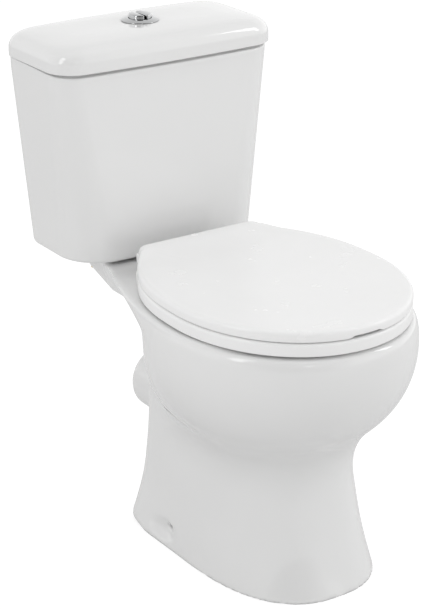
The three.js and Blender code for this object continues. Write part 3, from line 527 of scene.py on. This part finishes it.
def tube_field(x, d, z, route, radius):
    """Below zero within a radius of a smooth route in the middle plane."""
    stations = smoothly([(k, *place) for k, place in enumerate(route)], np.linspace(0, len(route) - 1, 41)).T
    margin = radius + FAR
    near = np.abs(x) < margin
    near &= (d > stations[:, 0].min() - margin) & (d < stations[:, 0].max() + margin)
    near &= (z > stations[:, 1].min() - margin) & (z < stations[:, 1].max() + margin)
    field = np.full(x.shape, FAR)
    px, pd, pz = x[near], d[near], z[near]
    best = np.full(px.shape, 1e9)
    for (d0, z0), (d1, z1) in zip(stations, stations[1:]):
        length = (d1 - d0) ** 2 + (z1 - z0) ** 2
        t = np.clip(((pd - d0) * (d1 - d0) + (pz - z0) * (z1 - z0)) / length, 0.0, 1.0)
        best = np.minimum(best, px**2 + (pd - d0 - t * (d1 - d0)) ** 2 + (pz - z0 - t * (z1 - z0)) ** 2)
    field[near] = np.sqrt(best) - radius
    return field


def measured(field, points, step=0.4):
    """A field as a true distance near its surface, with the direction that it grows in."""
    value = field(*points)
    slopes = []
    for axis in range(3):
        moved = list(points)
        moved[axis] = moved[axis] + step
        slopes.append((field(*moved) - value) / step)
    slope = np.stack(slopes)
    size = np.maximum(np.sqrt((slope**2).sum(0)), 1e-4)
    return value / size, slope / size


def weld(first, second, fillet, least=0.5):
    """Joins two measured fields with a fillet, which fades to its least where their surfaces run alike."""
    (a, a_way), (b, b_way) = first, second
    width = fillet * np.clip(1.0 - (a_way * b_way).sum(0), 0.0, 1.0) + least
    share = np.clip(1.0 - np.abs(a - b) / width, 0.0, 1.0)
    value = np.minimum(a, b) - share * share * width / 4.0
    lean = np.where(a < b, 1.0 - share / 2.0, share / 2.0)
    way = a_way * lean + b_way * (1.0 - lean)
    return value, way / np.maximum(np.sqrt((way**2).sum(0)), 1e-4)


def bowl_inside_field(x, d, z):
    half, front, rear, widest = smoothly(BOWL_INSIDE, z)
    sides = egg_field(x, d, half, widest, front, rear, 2.25)
    low, high = BOWL_INSIDE[0][0], BOWL_INSIDE[-1][0]
    return smooth_max(smooth_max(sides, low - z, 24.0), z - high, 14.0)


def rim_inside_field(x, d, z):
    flare = np.clip((z - RIM_FLARE["start"]) / RIM_FLARE["height"], 0.0, 1.0) ** 2
    sides = egg_field(x, d, **RIM_INSIDE) - RIM_FLARE["width"] * flare
    return np.maximum(sides, BOX_RIM_BOTTOM - 8.0 - z)


def hole_field(x, d, z, at_x, at_d, radius, low, high):
    return np.maximum(np.hypot(np.abs(x) - at_x, d - at_d) - radius, np.maximum(low - z, z - high))


def channel_field(x, d, z):
    """The flush channel under the deck, from the doughnut washer to the bowl."""
    tube = np.hypot(x, z - CHANNEL["z"]) - CHANNEL["radius"]
    return np.maximum(tube, np.maximum(CHANNEL["start"] - d, d - CHANNEL["end"]))


def foot_pocket_field(x, d, z):
    """The pocket in the side of the foot for a floor screw."""
    shape = FOOT_POCKET
    across = (np.abs(x) - shape["x"]) / shape["deep"]
    along = (d - shape["d"]) / shape["long"]
    up = (z - shape["z"]) / shape["high"]
    return (np.sqrt(across**2 + along**2 + up**2) - 1.0) * shape["deep"]


def foot_slot_field(x, d, z):
    """The screw hole at the bottom of the pocket."""
    shape = FOOT_SLOT
    along = np.maximum(np.abs(d - shape["d"]) - shape["half"], 0.0)
    slot = np.hypot(along, z - shape["z"]) - shape["radius"]
    return np.maximum(slot, shape["depth_x"] - np.abs(x))


def pan_field(x, d, z):
    """Below zero in the china of the pan."""
    points = (x, d, z)
    pedestal = measured(pedestal_field, points)
    shoulder = measured(shoulder_field, points)
    trunk = weld(measured(bowl_field, points), pedestal, *FILLET["neck"])
    trunk = weld(trunk, shoulder, FILLET["shoulder"])
    outside = weld(trunk, measured(shelf_field, points), FILLET["shelf"])[0]
    climb = smoothstep((d - DECK_RAMP[0]) / (DECK_RAMP[1] - DECK_RAMP[0]))
    outside = smooth_max(outside, z - DECK_TOP - (RIM_TOP - DECK_TOP) * climb, FILLET["deck"])
    fairing = tube_field(*points, WEIR_ROUTE, TRAP_BORE + TRAP_WALL)
    outside = smooth_min(outside, fairing, FILLET["trap"])
    outside = smooth_min(outside, spigot_field(*points), FILLET["spigot"])

    inside = measured(bowl_inside_field, points)[0]
    trap = tube_field(*points, TRAP_ROUTE, TRAP_BORE)
    channel = channel_field(*points)
    waterway = smooth_min(smooth_min(inside, trap, 14.0), channel, 3.0)

    under = np.maximum(np.minimum(pedestal[0], shoulder[0]) + PAN_WALL, z - (DECK_TOP - DECK_THICK))
    pocket = foot_pocket_field(*points)
    kept = np.minimum(np.minimum(inside - PAN_WALL, trap - TRAP_WALL), channel - CHANNEL["wall"])
    kept = np.minimum(kept, pocket - FOOT_POCKET["wall"])
    under = smooth_max(under, -kept, 8.0)

    way_in = measured(rim_inside_field, points)[0]
    cuts = [
        smooth_min(waterway, way_in, 6.0),
        under,
        *[hole_field(*points, *hole) for hole in DECK_HOLES],
        pocket,
        foot_slot_field(*points),
    ]
    solid = outside
    for cut in cuts:
        solid = smooth_max(solid, -cut, 4.0)
    heel = HEEL["extra"] * smoothstep((HEEL["start"] - d) / HEEL["length"])
    return smooth_max(solid, -z, FILLET["floor"] + heel)


def axis_points(stretches):
    """Grid places along an axis, from (start, end, spacing) stretches that follow each other."""
    parts = [np.linspace(a, b, max(int(round((b - a) / gap)), 1), endpoint=False) for a, b, gap in stretches]
    return np.concatenate([*parts, [stretches[-1][1]]])


def net(field, grid):
    """A closed surface where the field is zero: one point in each cell that it crosses, and one square
    around each edge."""
    inside = field < 0.0
    shape = np.array(field.shape) - 1
    corners = [(i, j, k) for i in (0, 1) for j in (0, 1) for k in (0, 1)]
    filled = np.zeros(shape, np.int8)
    for i, j, k in corners:
        filled += inside[i:i + shape[0], j:j + shape[1], k:k + shape[2]]
    cells = np.argwhere((filled > 0) & (filled < 8))
    total = np.zeros((len(cells), 3))
    count = np.zeros(len(cells))
    for a in corners:
        for axis in range(3):
            if a[axis] == 1:
                continue
            b = list(a)
            b[axis] = 1
            here, there = cells + a, cells + b
            low, high = field[tuple(here.T)], field[tuple(there.T)]
            crosses = (low < 0.0) != (high < 0.0)
            share = np.where(crosses, low / np.where(crosses, low - high, 1.0), 0.0)
            start = np.column_stack([grid[k][here[:, k]] for k in range(3)])
            end = np.column_stack([grid[k][there[:, k]] for k in range(3)])
            total += np.where(crosses[:, None], start + (end - start) * share[:, None], 0.0)
            count += crosses
    number = np.full(shape, -1, np.int64)
    number[tuple(cells.T)] = np.arange(len(cells))
    faces = []
    for axis in range(3):
        one, two = [k for k in range(3) if k != axis]
        ahead = np.roll(inside, -1, axis)
        edges = np.argwhere(inside != ahead)
        edges = edges[(edges[:, axis] < shape[axis]) & (edges[:, one] > 0) & (edges[:, two] > 0)]
        edges = edges[(edges[:, one] < shape[one]) & (edges[:, two] < shape[two])]
        square = []
        for back_one, back_two in ((0, 0), (1, 0), (1, 1), (0, 1)):
            cell = edges.copy()
            cell[:, one] -= back_one
            cell[:, two] -= back_two
            square.append(number[tuple(cell.T)])
        faces.append(np.column_stack(square))
    return total / count[:, None], np.vstack(faces).tolist()


def settled(points, field, rounds=2, most=1.5, step=0.1):
    """Points moved along the field's slope onto its zero surface."""
    for _ in range(rounds):
        columns = [points[:, k].copy() for k in range(3)]
        value = field(*columns)
        slopes = []
        for axis in range(3):
            moved = [column.copy() for column in columns]
            moved[axis] += step
            slopes.append((field(*moved) - value) / step)
        slope = np.column_stack(slopes)
        size = np.maximum((slope**2).sum(1), 0.05)
        shift = slope * (value / size)[:, None]
        length = np.maximum(np.linalg.norm(shift, axis=1), 1e-9)
        points = points - shift * np.minimum(1.0, most / length)[:, None]
    return points


def relaxed(points, faces, amount, rounds):
    """Points drawn towards the middle of their neighbours, each by its own amount between 0 and 1."""
    faces = np.asarray(faces)
    edges = np.vstack([faces[:, [k, (k + 1) % 4]] for k in range(4)])
    here, there = np.vstack([edges, edges[:, ::-1]]).T
    count = np.bincount(here, minlength=len(points))
    for _ in range(rounds):
        total = [np.bincount(here, points[there, k], len(points)) for k in range(3)]
        middle = np.column_stack(total) / count[:, None]
        points = points + (middle - points) * (0.5 * amount)[:, None]
    return points


def near_neck(points):
    """How far each point belongs to the fillet where the bowl meets the pedestal."""
    d, z = points[:, 1], points[:, 2]
    between = smoothstep((z - NECK["low"]) / 40.0) * smoothstep((NECK["high"] - z) / 40.0)
    return between * smoothstep((d - NECK["rear"]) / 30.0)


def pan():
    """The field's surface, from a grid over one half that is mirrored for the other."""
    coarse = 1.0
    cell = 4.2 * coarse
    half = axis_points([(cell / 2, 196.0, cell)])
    across = np.concatenate([-half[::-1], half])
    along = axis_points([(22.0, 320.0, cell), (320.0, 366.0, 3.0 * coarse), (366.0, 666.0, cell)])
    up = axis_points([(-4.0, 60.0, 3.2 * coarse), (60.0, 386.0, cell), (386.0, 408.0, 2.0 * coarse)])
    x, d, z = np.meshgrid(half, along, up, indexing="ij")
    quarter = pan_field(x.ravel(), d.ravel(), z.ravel()).reshape(x.shape)
    points, faces = net(np.concatenate([quarter[::-1], quarter]), (across, along, up))
    points = settled(points, pan_field)
    return relaxed(points, faces, near_neck(points), rounds=14), faces


# ---------------------------------------------------------------- cistern

# at the tank's floor and at its top
TANK_HALF = (168.0, 189.5)
TANK_FRONT = (182.0, 176.0)
TANK_FRONT_CORNER = (70.0, 40.0)
TANK_REAR_CORNER = (45.0, 24.0)
TANK_BOW = 5.0


def tank_ring(z, inset):
    """The tank grows wider and squarer upwards."""
    t = (z - TANK_FLOOR) / (TANK_TOP - TANK_FLOOR)

    def drawn_in(pair):
        return pair[0] + (pair[1] - pair[0]) * t - inset

    front_corner = max(drawn_in(TANK_FRONT_CORNER), 4.0)
    rear_corner = max(drawn_in(TANK_REAR_CORNER), 4.0)
    return boxed(drawn_in(TANK_HALF), drawn_in(TANK_FRONT), inset, front_corner, rear_corner, TANK_BOW)


# inset, depth below the top: a dark groove under the lid's edge, then the brim that carries the lid
BRIM = [
    (0.0, 14.0), (0.0, 7.4), (0.4, 6.3), (1.4, 5.6), (2.8, 5.3), (8.6, 5.1), (9.3, 4.5), (9.4, 2.4),
    (9.7, 1.8), (10.4, 1.8), (12.4, 1.8), (12.8, 2.2), (12.8, 9.0), (TANK_WALL, 13.0),
]


def tank():
    """An open box. The groove below its brim is deepest in front."""
    angles = spaced_angles(tank_ring(TANK_TOP, 0.0), BUTTON_FROM_WALL, 260)

    def ring(inset, z, depth=0.0):
        plan = seen_from(tank_ring(z - depth, inset), BUTTON_FROM_WALL, angles)
        share = 0.25 + 0.75 * np.clip(plan[:, 1] / TANK_FRONT[1], 0.0, 1.0) ** 1.5
        return at_height(plan, z - depth * share)

    low = TANK_FLOOR + 14.0
    inside_floor = TANK_FLOOR + 11.0
    foot = rounded([(40.0, TANK_FLOOR, 0), (0.0, TANK_FLOOR, 9.0), (0.0, low, 0)], 8)
    walls = [(0.0, z) for z in np.linspace(low, TANK_TOP - 15.0, 22)]
    well = rounded([(TANK_WALL, TANK_TOP - 14.0, 0), (11.0, inside_floor, 16.0), (60.0, inside_floor, 0)], 8)
    rings = [ring(inset, z) for inset, z in [*foot[:-1], *walls]]
    rings += [ring(inset, TANK_TOP, depth) for inset, depth in BRIM]
    rings += [ring(inset, z) for inset, z in well]
    return loft(rings)


# rise above the lid's bottom edge, inset
LID_EDGE = [
    (0, 1.2), (0.8, 0.2), (2.5, 0), (12, 0), (20, 0.6), (29, 4), (35, 10), (38.5, 18), (40.5, 34), (41.7, 62),
]
LID_UNDER = 731.5
LID_WALL = 26.0
LIP_DEPTH = 8.0
LID_CORNERS = (44.0, 30.0)  # front, rear
LID_BOW = 8.0
LID_DROOP = 4.5  # how much lower the top is at its ends
BUTTON_HOLE = 20.0


def lid_ring(inset):
    front, bow = LID_FRONT - inset, LID_BOW - inset / 8
    front_corner, rear_corner = LID_CORNERS
    return boxed(LID_HALF - inset, front, inset * 0.7, front_corner - inset / 3, rear_corner, bow)


def lid():
    """A domed lid with a hollow underside, a lip that drops into the tank and a hole for the button."""
    base = TANK_TOP + GAP
    angles = spaced_angles(lid_ring(0.0), BUTTON_FROM_WALL, 300)

    def ring(outline, z):
        return at_height(seen_from(outline, BUTTON_FROM_WALL, angles), z)

    table = [(k, *row) for k, row in enumerate(LID_EDGE)]
    rises, insets = smoothly(table, np.linspace(0, len(LID_EDGE) - 1, 55))
    crown = []
    for rise, inset in zip(rises, insets):
        plan = seen_from(lid_ring(inset), BUTTON_FROM_WALL, angles)
        droop = LID_DROOP * np.abs(plan[:, 0] / LID_HALF) ** 3 * (rise / LID_EDGE[-1][0])
        crown.append(at_height(plan, base + rise - droop))
    hole = np.column_stack([np.sin(angles), np.cos(angles)]) * BUTTON_HOLE + [0.0, BUTTON_FROM_WALL]
    mouth = at_height(hole, LID_TOP)
    top = [crown[-1] * (1 - t) + mouth * t for t in (0.3, 0.6, 0.85, 0.97)]
    hollow = boxed(LID_HALF - LID_WALL, LID_FRONT - LID_WALL, LID_WALL - 4.0, 26.0, 10.0, 5.0)
    lip = tank_ring(TANK_TOP, TANK_WALL + 4.0)
    lip_bottom = base - LIP_DEPTH
    inside = [
        at_height(hole, LID_TOP - 1.0),
        at_height(hole, LID_UNDER),
        ring(hollow, LID_UNDER),
        ring(hollow, lip_bottom + 1.0),
        ring(lip, lip_bottom),
        ring(lip, lip_bottom + 1.5),
        ring(lip, base - 0.5),
        ring(tank_ring(TANK_TOP, TANK_WALL + 3.0), base),
        ring(lid_ring(4.0), base),
    ]
    return loft([*crown, *top, *inside], closed=True)


# ---------------------------------------------------------------- push button


def turned(profile, sides=96):
    """The rings of a profile of (radius, height) turned about the push button's axis."""
    angle = steps(sides)[:-1] * 2.0 * math.pi
    circle = np.column_stack([np.sin(angle), np.cos(angle)])
    return [at_height(circle * radius + [0.0, BUTTON_FROM_WALL], z) for radius, z in profile]


BEZEL_FLOOR = (712.0, 715.0)  # its underside and its upper face
BEZEL_SLEEVE = 19.2
BEZEL_RIM = 29.0
BEZEL_BORE = 17.9


def bezel():
    """A flared chrome collar on a threaded sleeve, with a floor inside for the return springs."""
    seat = LID_TOP + GAP
    bottom, floor_top = BEZEL_FLOOR
    outside = rounded([
        (15.0, bottom, 0), (BEZEL_SLEEVE, bottom, 1.0), (BEZEL_SLEEVE, seat, 0.4), (BEZEL_RIM, seat, 0.4),
        (BEZEL_RIM + 0.2, seat + 1.2, 0.6), (24.0, seat + 3.0, 3.5), (20.5, seat + 3.9, 1.0),
        (BEZEL_BORE + 0.3, seat + 3.7, 0.8), (BEZEL_BORE, seat + 1.0, 0.6), (BEZEL_BORE, floor_top, 0.6),
        (15.0, floor_top, 0),
    ], 5)
    return loft(turned(outside))


BUTTON_RADIUS = 17.3
BUTTON_TOP = 755.0
BUTTON_BOTTOM = 735.0
BUTTON_SPLIT = 2.0  # from the middle to each cap, without the gap


def cap_outline(side, inset):
    """The part of a disc beyond a straight split, drawn in by an inset, listed around."""
    radius = BUTTON_RADIUS - inset
    chord = BUTTON_SPLIT + GAP + inset
    corner = max(1.6 - inset / 2, 0.4)
    reach = math.sqrt((radius - corner) ** 2 - (chord + corner) ** 2)
    lean = math.atan2(reach, chord + corner)
    sweep = lean * (2.0 * steps(40) - 1.0)
    arc_points = np.column_stack([radius * np.cos(sweep), radius * np.sin(sweep)])
    turn = lean + (math.pi - lean) * steps(8)[1:]
    upper = np.column_stack([chord + corner + corner * np.cos(turn), reach + corner * np.sin(turn)])
    down = reach * (1.0 - 2.0 * steps(12)[1:-1])
    chord_points = np.column_stack([np.full(len(down), chord), down])
    lower = upper[::-1] * [1.0, -1.0]
    outline = np.vstack([arc_points, upper, chord_points, lower])
    return np.column_stack([outline[:, 0] * side, BUTTON_FROM_WALL + outline[:, 1]])


def button_cap(side):
    """One cap with a flat top and a rounded edge."""
    profile = rounded([
        (0.0, BUTTON_BOTTOM, 0), (0.0, BUTTON_TOP - 0.9, 2.2), (5.0, BUTTON_TOP, 0),
    ], 10)
    return loft([at_height(cap_outline(side, inset), z) for inset, z in profile])


# ---------------------------------------------------------------- seat

SEAT_CENTRE = 440.0
RING_WIDTH = 60.0
RING_HOLE = dict(half=112.0, widest=440.0, front=602.0, rear=300.0, power=2.15)
COVER_BOTTOM = RING_TOP + 0.8
SKIN = 5.0
COVER_REAR = 234.0
SLIT_HALF = 25.0
SLIT_HEIGHT = 3.0
HOOD_START = 282.0
HOOD_LENGTH = 40.0
KNUCKLE_RADIUS = 7.5
CHEEK_RADIUS = 15.3
# how far from the middle plane each hinge piece starts and ends
TONGUE = (55.5, 65.5)
KNUCKLE = (90.5, 101.0)
CHEEK = (99.5, 105.0)


def half_at(from_wall):
    """Half width of the seat behind its widest point."""
    reach = SEAT["widest"] - SEAT["rear"] - SEAT["corner"]
    share = np.clip((SEAT["widest"] - from_wall) / reach, 0.0, 1.0)
    return SEAT["half"] - (SEAT["half"] - SEAT["back_half"]) * share**SEAT_FLANK


def seat_outline(inset, rear):
    corner = SEAT["corner"]
    fore = nose(SEAT["half"] - inset, SEAT["widest"], SEAT["front"] - inset, SEAT["power"])
    start = rear + corner
    places = SEAT["widest"] + (start - SEAT["widest"]) * steps(40)[1:-1]
    flank = np.column_stack([half_at(places) - inset, places])
    aft = arc(half_at(start) - inset - corner, start + inset, corner, math.pi / 2, math.pi, 16)
    return mirrored(np.vstack([fore, flank, aft, [[0.0, rear + inset]]]))


def hole_outline():
    shape = RING_HOLE
    fore = nose(shape["half"], shape["widest"], shape["front"], shape["power"])
    aft = nose(shape["half"], shape["widest"], shape["rear"], shape["power"])
    return mirrored(np.vstack([fore, aft[::-1][1:]]))


def prism(outline, low, high, edge=0.8):
    """A side view given as (distance from the wall, height), carried across with softened edges."""
    outline = np.asarray(outline, float)
    middle = outline.mean(0)
    reach = np.abs(outline - middle).max()
    shrunk = middle + (outline - middle) * (1.0 - edge / reach)
    sections = [(low, shrunk), (low + edge, outline), (high - edge, outline), (high, shrunk)]
    return loft([np.column_stack([np.full(len(plan), x), plan]) for x, plan in sections])


def both_sides(shape):
    """The same shape on the right and mirrored on the left."""
    points, faces = shape
    return [(points, faces), (points * [-1.0, 1.0, 1.0], faces)]


def hinge_tongue():
    """From the back of the ring round the hinge pin."""
    turn = np.linspace(-0.35 * math.pi, math.pi, 22)
    around = np.column_stack([np.sin(turn), np.cos(turn)])
    knuckle = np.array([HINGE_FROM_WALL, HINGE_Z]) - KNUCKLE_RADIUS * around
    inner = RING_REAR + 22.0
    return [(inner, 412.0), (RING_REAR + 6.0, 413.0), *knuckle, (inner, 426.0)]


def seat_ring():
    """A crowned ring, the same across all the way round except where it is narrower than its profile."""
    outer = seat_outline(0.0, RING_REAR)
    angles = spaced_angles(outer, SEAT_CENTRE, 240)
    edge = seen_from(outer, SEAT_CENTRE, angles)
    hole = seen_from(hole_outline(), SEAT_CENTRE, angles)
    width = np.linalg.norm(edge - hole, axis=1)[:, None]
    inward = (hole - edge) / width
    squeeze = np.minimum(width / RING_WIDTH, 1.0)
    across = rounded([
        (40.0, RING_BOTTOM, 0), (0.0, RING_BOTTOM - 1.0, 2.0), (0.0, RING_TOP - 1.0, 5.5),
        (RING_WIDTH / 2, RING_TOP + 0.3, 14.0), (RING_WIDTH, RING_TOP - 1.0, 7.0),
        (RING_WIDTH, RING_BOTTOM, 3.0), (40.0, RING_BOTTOM, 0),
    ], 7)
    rings = []
    for place, z in across[:-1]:
        if place <= RING_WIDTH / 2:
            plan = edge + inward * place * squeeze
        else:
            plan = hole - inward * (RING_WIDTH - place) * squeeze
        rings.append(at_height(plan, z))
    return joined(loft(rings, closed=True), *both_sides(prism(hinge_tongue(), *TONGUE)))


def cover_bottom(plan, z):
    """The skirt's lower edge rises over the hinges and over the finger slit in front."""
    x, d = plan[:, 0], plan[:, 1]
    slit = SLIT_HEIGHT * smoothstep((SLIT_HALF + 1.5 - np.abs(x)) / 3.0) * (d > SEAT["widest"])
    notch = smoothstep((KNUCKLE[1] - np.abs(x)) / 2.5) * (d < SEAT["widest"])
    return z + slit + (COVER_TOP - SKIN - COVER_BOTTOM) * notch


def cover_top(plan, z):
    """The top rises into a hood over the hinges."""
    hood = (COVER_REAR_TOP - COVER_TOP) * smoothstep((HOOD_START - plan[:, 1]) / HOOD_LENGTH)
    return z + hood * smoothstep((z - COVER_TOP + 9.0) / 9.0)


def seat_cover():
    """A shallow shell that is crowned at its edge, with the hinge eyes inside its back corners."""
    angles = spaced_angles(seat_outline(0.0, COVER_REAR), SEAT_CENTRE, 300)
    middle = np.array([0.0, SEAT_CENTRE])

    def ring(inset, z, share=1.0, edge=None):
        outline = seen_from(seat_outline(inset, COVER_REAR), SEAT_CENTRE, angles)
        plan = middle + (outline - middle) * share
        height = np.full(len(plan), z)
        return at_height(plan, edge(plan, height) if edge else height)

    shares = (0.01, 0.08, 0.2, 0.35, 0.5, 0.65, 0.8, 0.92)
    side = rounded([
        (14.0, COVER_TOP, 0), (0.0, COVER_TOP, 8.5), (0.3, COVER_BOTTOM, 2.0), (6.0, COVER_BOTTOM, 0),
    ], 9)
    under = COVER_TOP - SKIN
    rings = [ring(14.0, COVER_TOP, share, cover_top) for share in shares]
    for inset, z in side:
        rings.append(ring(inset, z, edge=cover_top if z > COVER_BOTTOM + 2.5 else cover_bottom))
    rings.append(ring(7.0, COVER_BOTTOM + 0.4, edge=cover_bottom))
    rings += [ring(7.6, under - 2.5), ring(9.0, under - 0.6)]
    rings += [ring(12.0, under, share) for share in (1.0, *shares[::-1])]
    body = loft(rings)

    turn = np.linspace(-0.13 * math.pi, 1.13 * math.pi, 30)
    whole = steps(28)[:-1] * 2.0 * math.pi
    pin = np.array([HINGE_FROM_WALL, HINGE_Z])
    cheek = pin - CHEEK_RADIUS * np.column_stack([np.cos(turn), np.sin(turn)])
    knuckle = pin + KNUCKLE_RADIUS * np.column_stack([np.cos(whole), np.sin(whole)])
    web_low, web_high = HINGE_Z - 2.0, COVER_TOP - 2.0
    web_back, web_front = HINGE_FROM_WALL - 6.5, HINGE_FROM_WALL + 6.5
    web = [(web_back, web_low), (web_front, web_low), (web_front, web_high), (web_back, web_high)]
    return joined(
        body,
        *both_sides(prism(cheek, *CHEEK)),
        *both_sides(prism(knuckle, *KNUCKLE)),
        *both_sides(prism(web, *KNUCKLE)),
    )


# ---------------------------------------------------------------- stage, light and camera


def aimed(obj, target):
    obj.rotation_euler = (Vector(target) - obj.location).to_track_quat("-Z", "Y").to_euler()


def floor():
    """A pale floor that fades into the white behind it."""
    mesh = bpy.data.meshes.new("floor")
    reach = 12.0
    corners = [(-reach, -reach, 0), (reach, -reach, 0), (reach, reach, 0), (-reach, reach, 0)]
    mesh.from_pydata(corners, [], [[0, 1, 2, 3]])
    made = bpy.data.objects.new("floor", mesh)
    bpy.context.scene.collection.objects.link(made)
    material = bpy.data.materials.new("floor")
    material.use_nodes = True
    nodes = Nodes(material.node_tree)
    seen = nodes.add("ShaderNodeLightPath").outputs["Is Camera Ray"]
    matt = nodes.add("ShaderNodeBsdfDiffuse", {"Color": (0.75, 0.75, 0.75, 1)}).outputs["BSDF"]
    shadow_side = nodes.add("ShaderNodeBsdfDiffuse", {"Color": (0.3, 0.3, 0.3, 1)}).outputs["BSDF"]
    glow = nodes.add("ShaderNodeEmission", {"Color": (1, 1, 1, 1), "Strength": 0.8}).outputs["Emission"]
    white = nodes.add("ShaderNodeAddShader")
    nodes.tree.links.new(shadow_side, white.inputs[0])
    nodes.tree.links.new(glow, white.inputs[1])
    mixed = nodes.add("ShaderNodeMixShader", {"Fac": seen})
    nodes.tree.links.new(matt, mixed.inputs[1])
    nodes.tree.links.new(white.outputs[0], mixed.inputs[2])
    nodes.add("ShaderNodeOutputMaterial", {"Surface": mixed.outputs[0]})
    mesh.materials.append(material)
    made.location.z = -0.0004


def studio():
    """A white tent round the object, with a dark opening in front for the camera."""
    world = bpy.data.worlds.new("studio")
    bpy.context.scene.world = world
    world.use_nodes = True
    nodes = Nodes(world.node_tree)
    direction = nodes.add("ShaderNodeTexCoord").outputs["Generated"]

    def towards(vector, low, high, start=0.0):
        dot = nodes.add("ShaderNodeVectorMath", {0: direction, 1: vector}, operation="DOT_PRODUCT")
        ramp = {"Value": dot.outputs["Value"], "From Min": start, "To Min": low, "To Max": high}
        return nodes.add("ShaderNodeMapRange", ramp, interpolation_type="SMOOTHSTEP").outputs["Result"]

    above = towards((0.0, 0.0, 1.0), 1.05, 0.75)
    right = towards(Vector((0.9, -0.42, 0.0)), 1.0, 1.36)
    front = Vector((-0.5, -0.84, 0.35)).normalized()
    in_front = towards(front, 1.0, 0.85)
    dark_front = towards(front, 1.0, 0.08, 0.3)
    paths = nodes.add("ShaderNodeLightPath").outputs
    shade = {0: paths["Is Glossy Ray"], 2: in_front, 3: dark_front}
    front_light = nodes.add("ShaderNodeMix", shade).outputs[0]
    sides = nodes.add("ShaderNodeMath", {0: right, 1: front_light}, operation="MULTIPLY").outputs[0]
    light = nodes.add("ShaderNodeMath", {0: above, 1: sides}, operation="MULTIPLY").outputs[0]
    tent = nodes.add("ShaderNodeBackground", {"Color": (1, 1, 1, 1), "Strength": light}).outputs[0]
    backdrop = nodes.add("ShaderNodeBackground", {"Color": (1, 1, 1, 1), "Strength": 1.05}).outputs[0]
    mixed = nodes.add("ShaderNodeMixShader", {"Fac": paths["Is Camera Ray"]})
    nodes.tree.links.new(tent, mixed.inputs[1])
    nodes.tree.links.new(backdrop, mixed.inputs[2])
    nodes.add("ShaderNodeOutputWorld", {"Surface": mixed.outputs[0]})
    bpy.context.scene.view_settings.view_transform = "Standard"


def softbox(name, place, target, width, height, power, spread=180.0):
    """A rectangular lamp in metres and watts. A small spread in degrees keeps its light in a beam."""
    data = bpy.data.lights.new(name, "AREA")
    data.shape = "RECTANGLE"
    data.size = width
    data.size_y = height
    data.energy = power
    data.spread = math.radians(spread)
    made = bpy.data.objects.new(name, data)
    made.location = place
    aimed(made, target)
    bpy.context.scene.collection.objects.link(made)


def lights():
    """A softbox on each side, and a faint narrow one at the cistern's front."""
    softbox("left_softbox", (-1.9, -0.3, 1.7), (0.0, 0.0, 0.4), 0.5, 1.6, 7.0)
    softbox("tank_fill", (-0.6, -2.2, 1.5), (0.03, 0.15, 0.44), 0.4, 0.3, 0.025, spread=20.0)
    softbox("right_softbox", (2.25, -1.6, 2.0), (0.0, -0.1, 0.4), 0.6, 1.2, 9.0)


def camera():
    """Looks down at the toilet from its front left, as the photograph does."""
    turn, rise, distance = math.radians(-34.0), math.radians(22.25), 2.8798
    target = Vector((-0.0154, 0.0256, 0.356))
    away = Vector((math.sin(turn) * math.cos(rise), -math.cos(turn) * math.cos(rise), math.sin(rise)))
    data = bpy.data.cameras.new("camera")
    data.lens = 113.53
    data.sensor_width = 36.0
    made = bpy.data.objects.new("camera", data)
    made.location = target + away * distance
    aimed(made, target)
    bpy.context.scene.collection.objects.link(made)
    bpy.context.scene.camera = made


# ---------------------------------------------------------------- assembly

camera()
studio()
lights()
floor()

for name, node in frame["nodes"].items():
    for slot in node.material_slots:
        slot.material = MATERIALS[SLOT_OF[name]]

piece("pan_glazed", pan(), "pan", sharp=100.0)
piece("tank_glazed", tank(), "cistern_tank")
piece("lid_glazed", lid(), "cistern_lid")
piece("button_collar", bezel(), "button_bezel")
piece("full_flush_cap", button_cap(1), "full_flush_button")
piece("half_flush_cap", button_cap(-1), "half_flush_button")
piece("ring_moulded", seat_ring(), "seat_ring")
piece("cover_moulded", seat_cover(), "seat_cover")
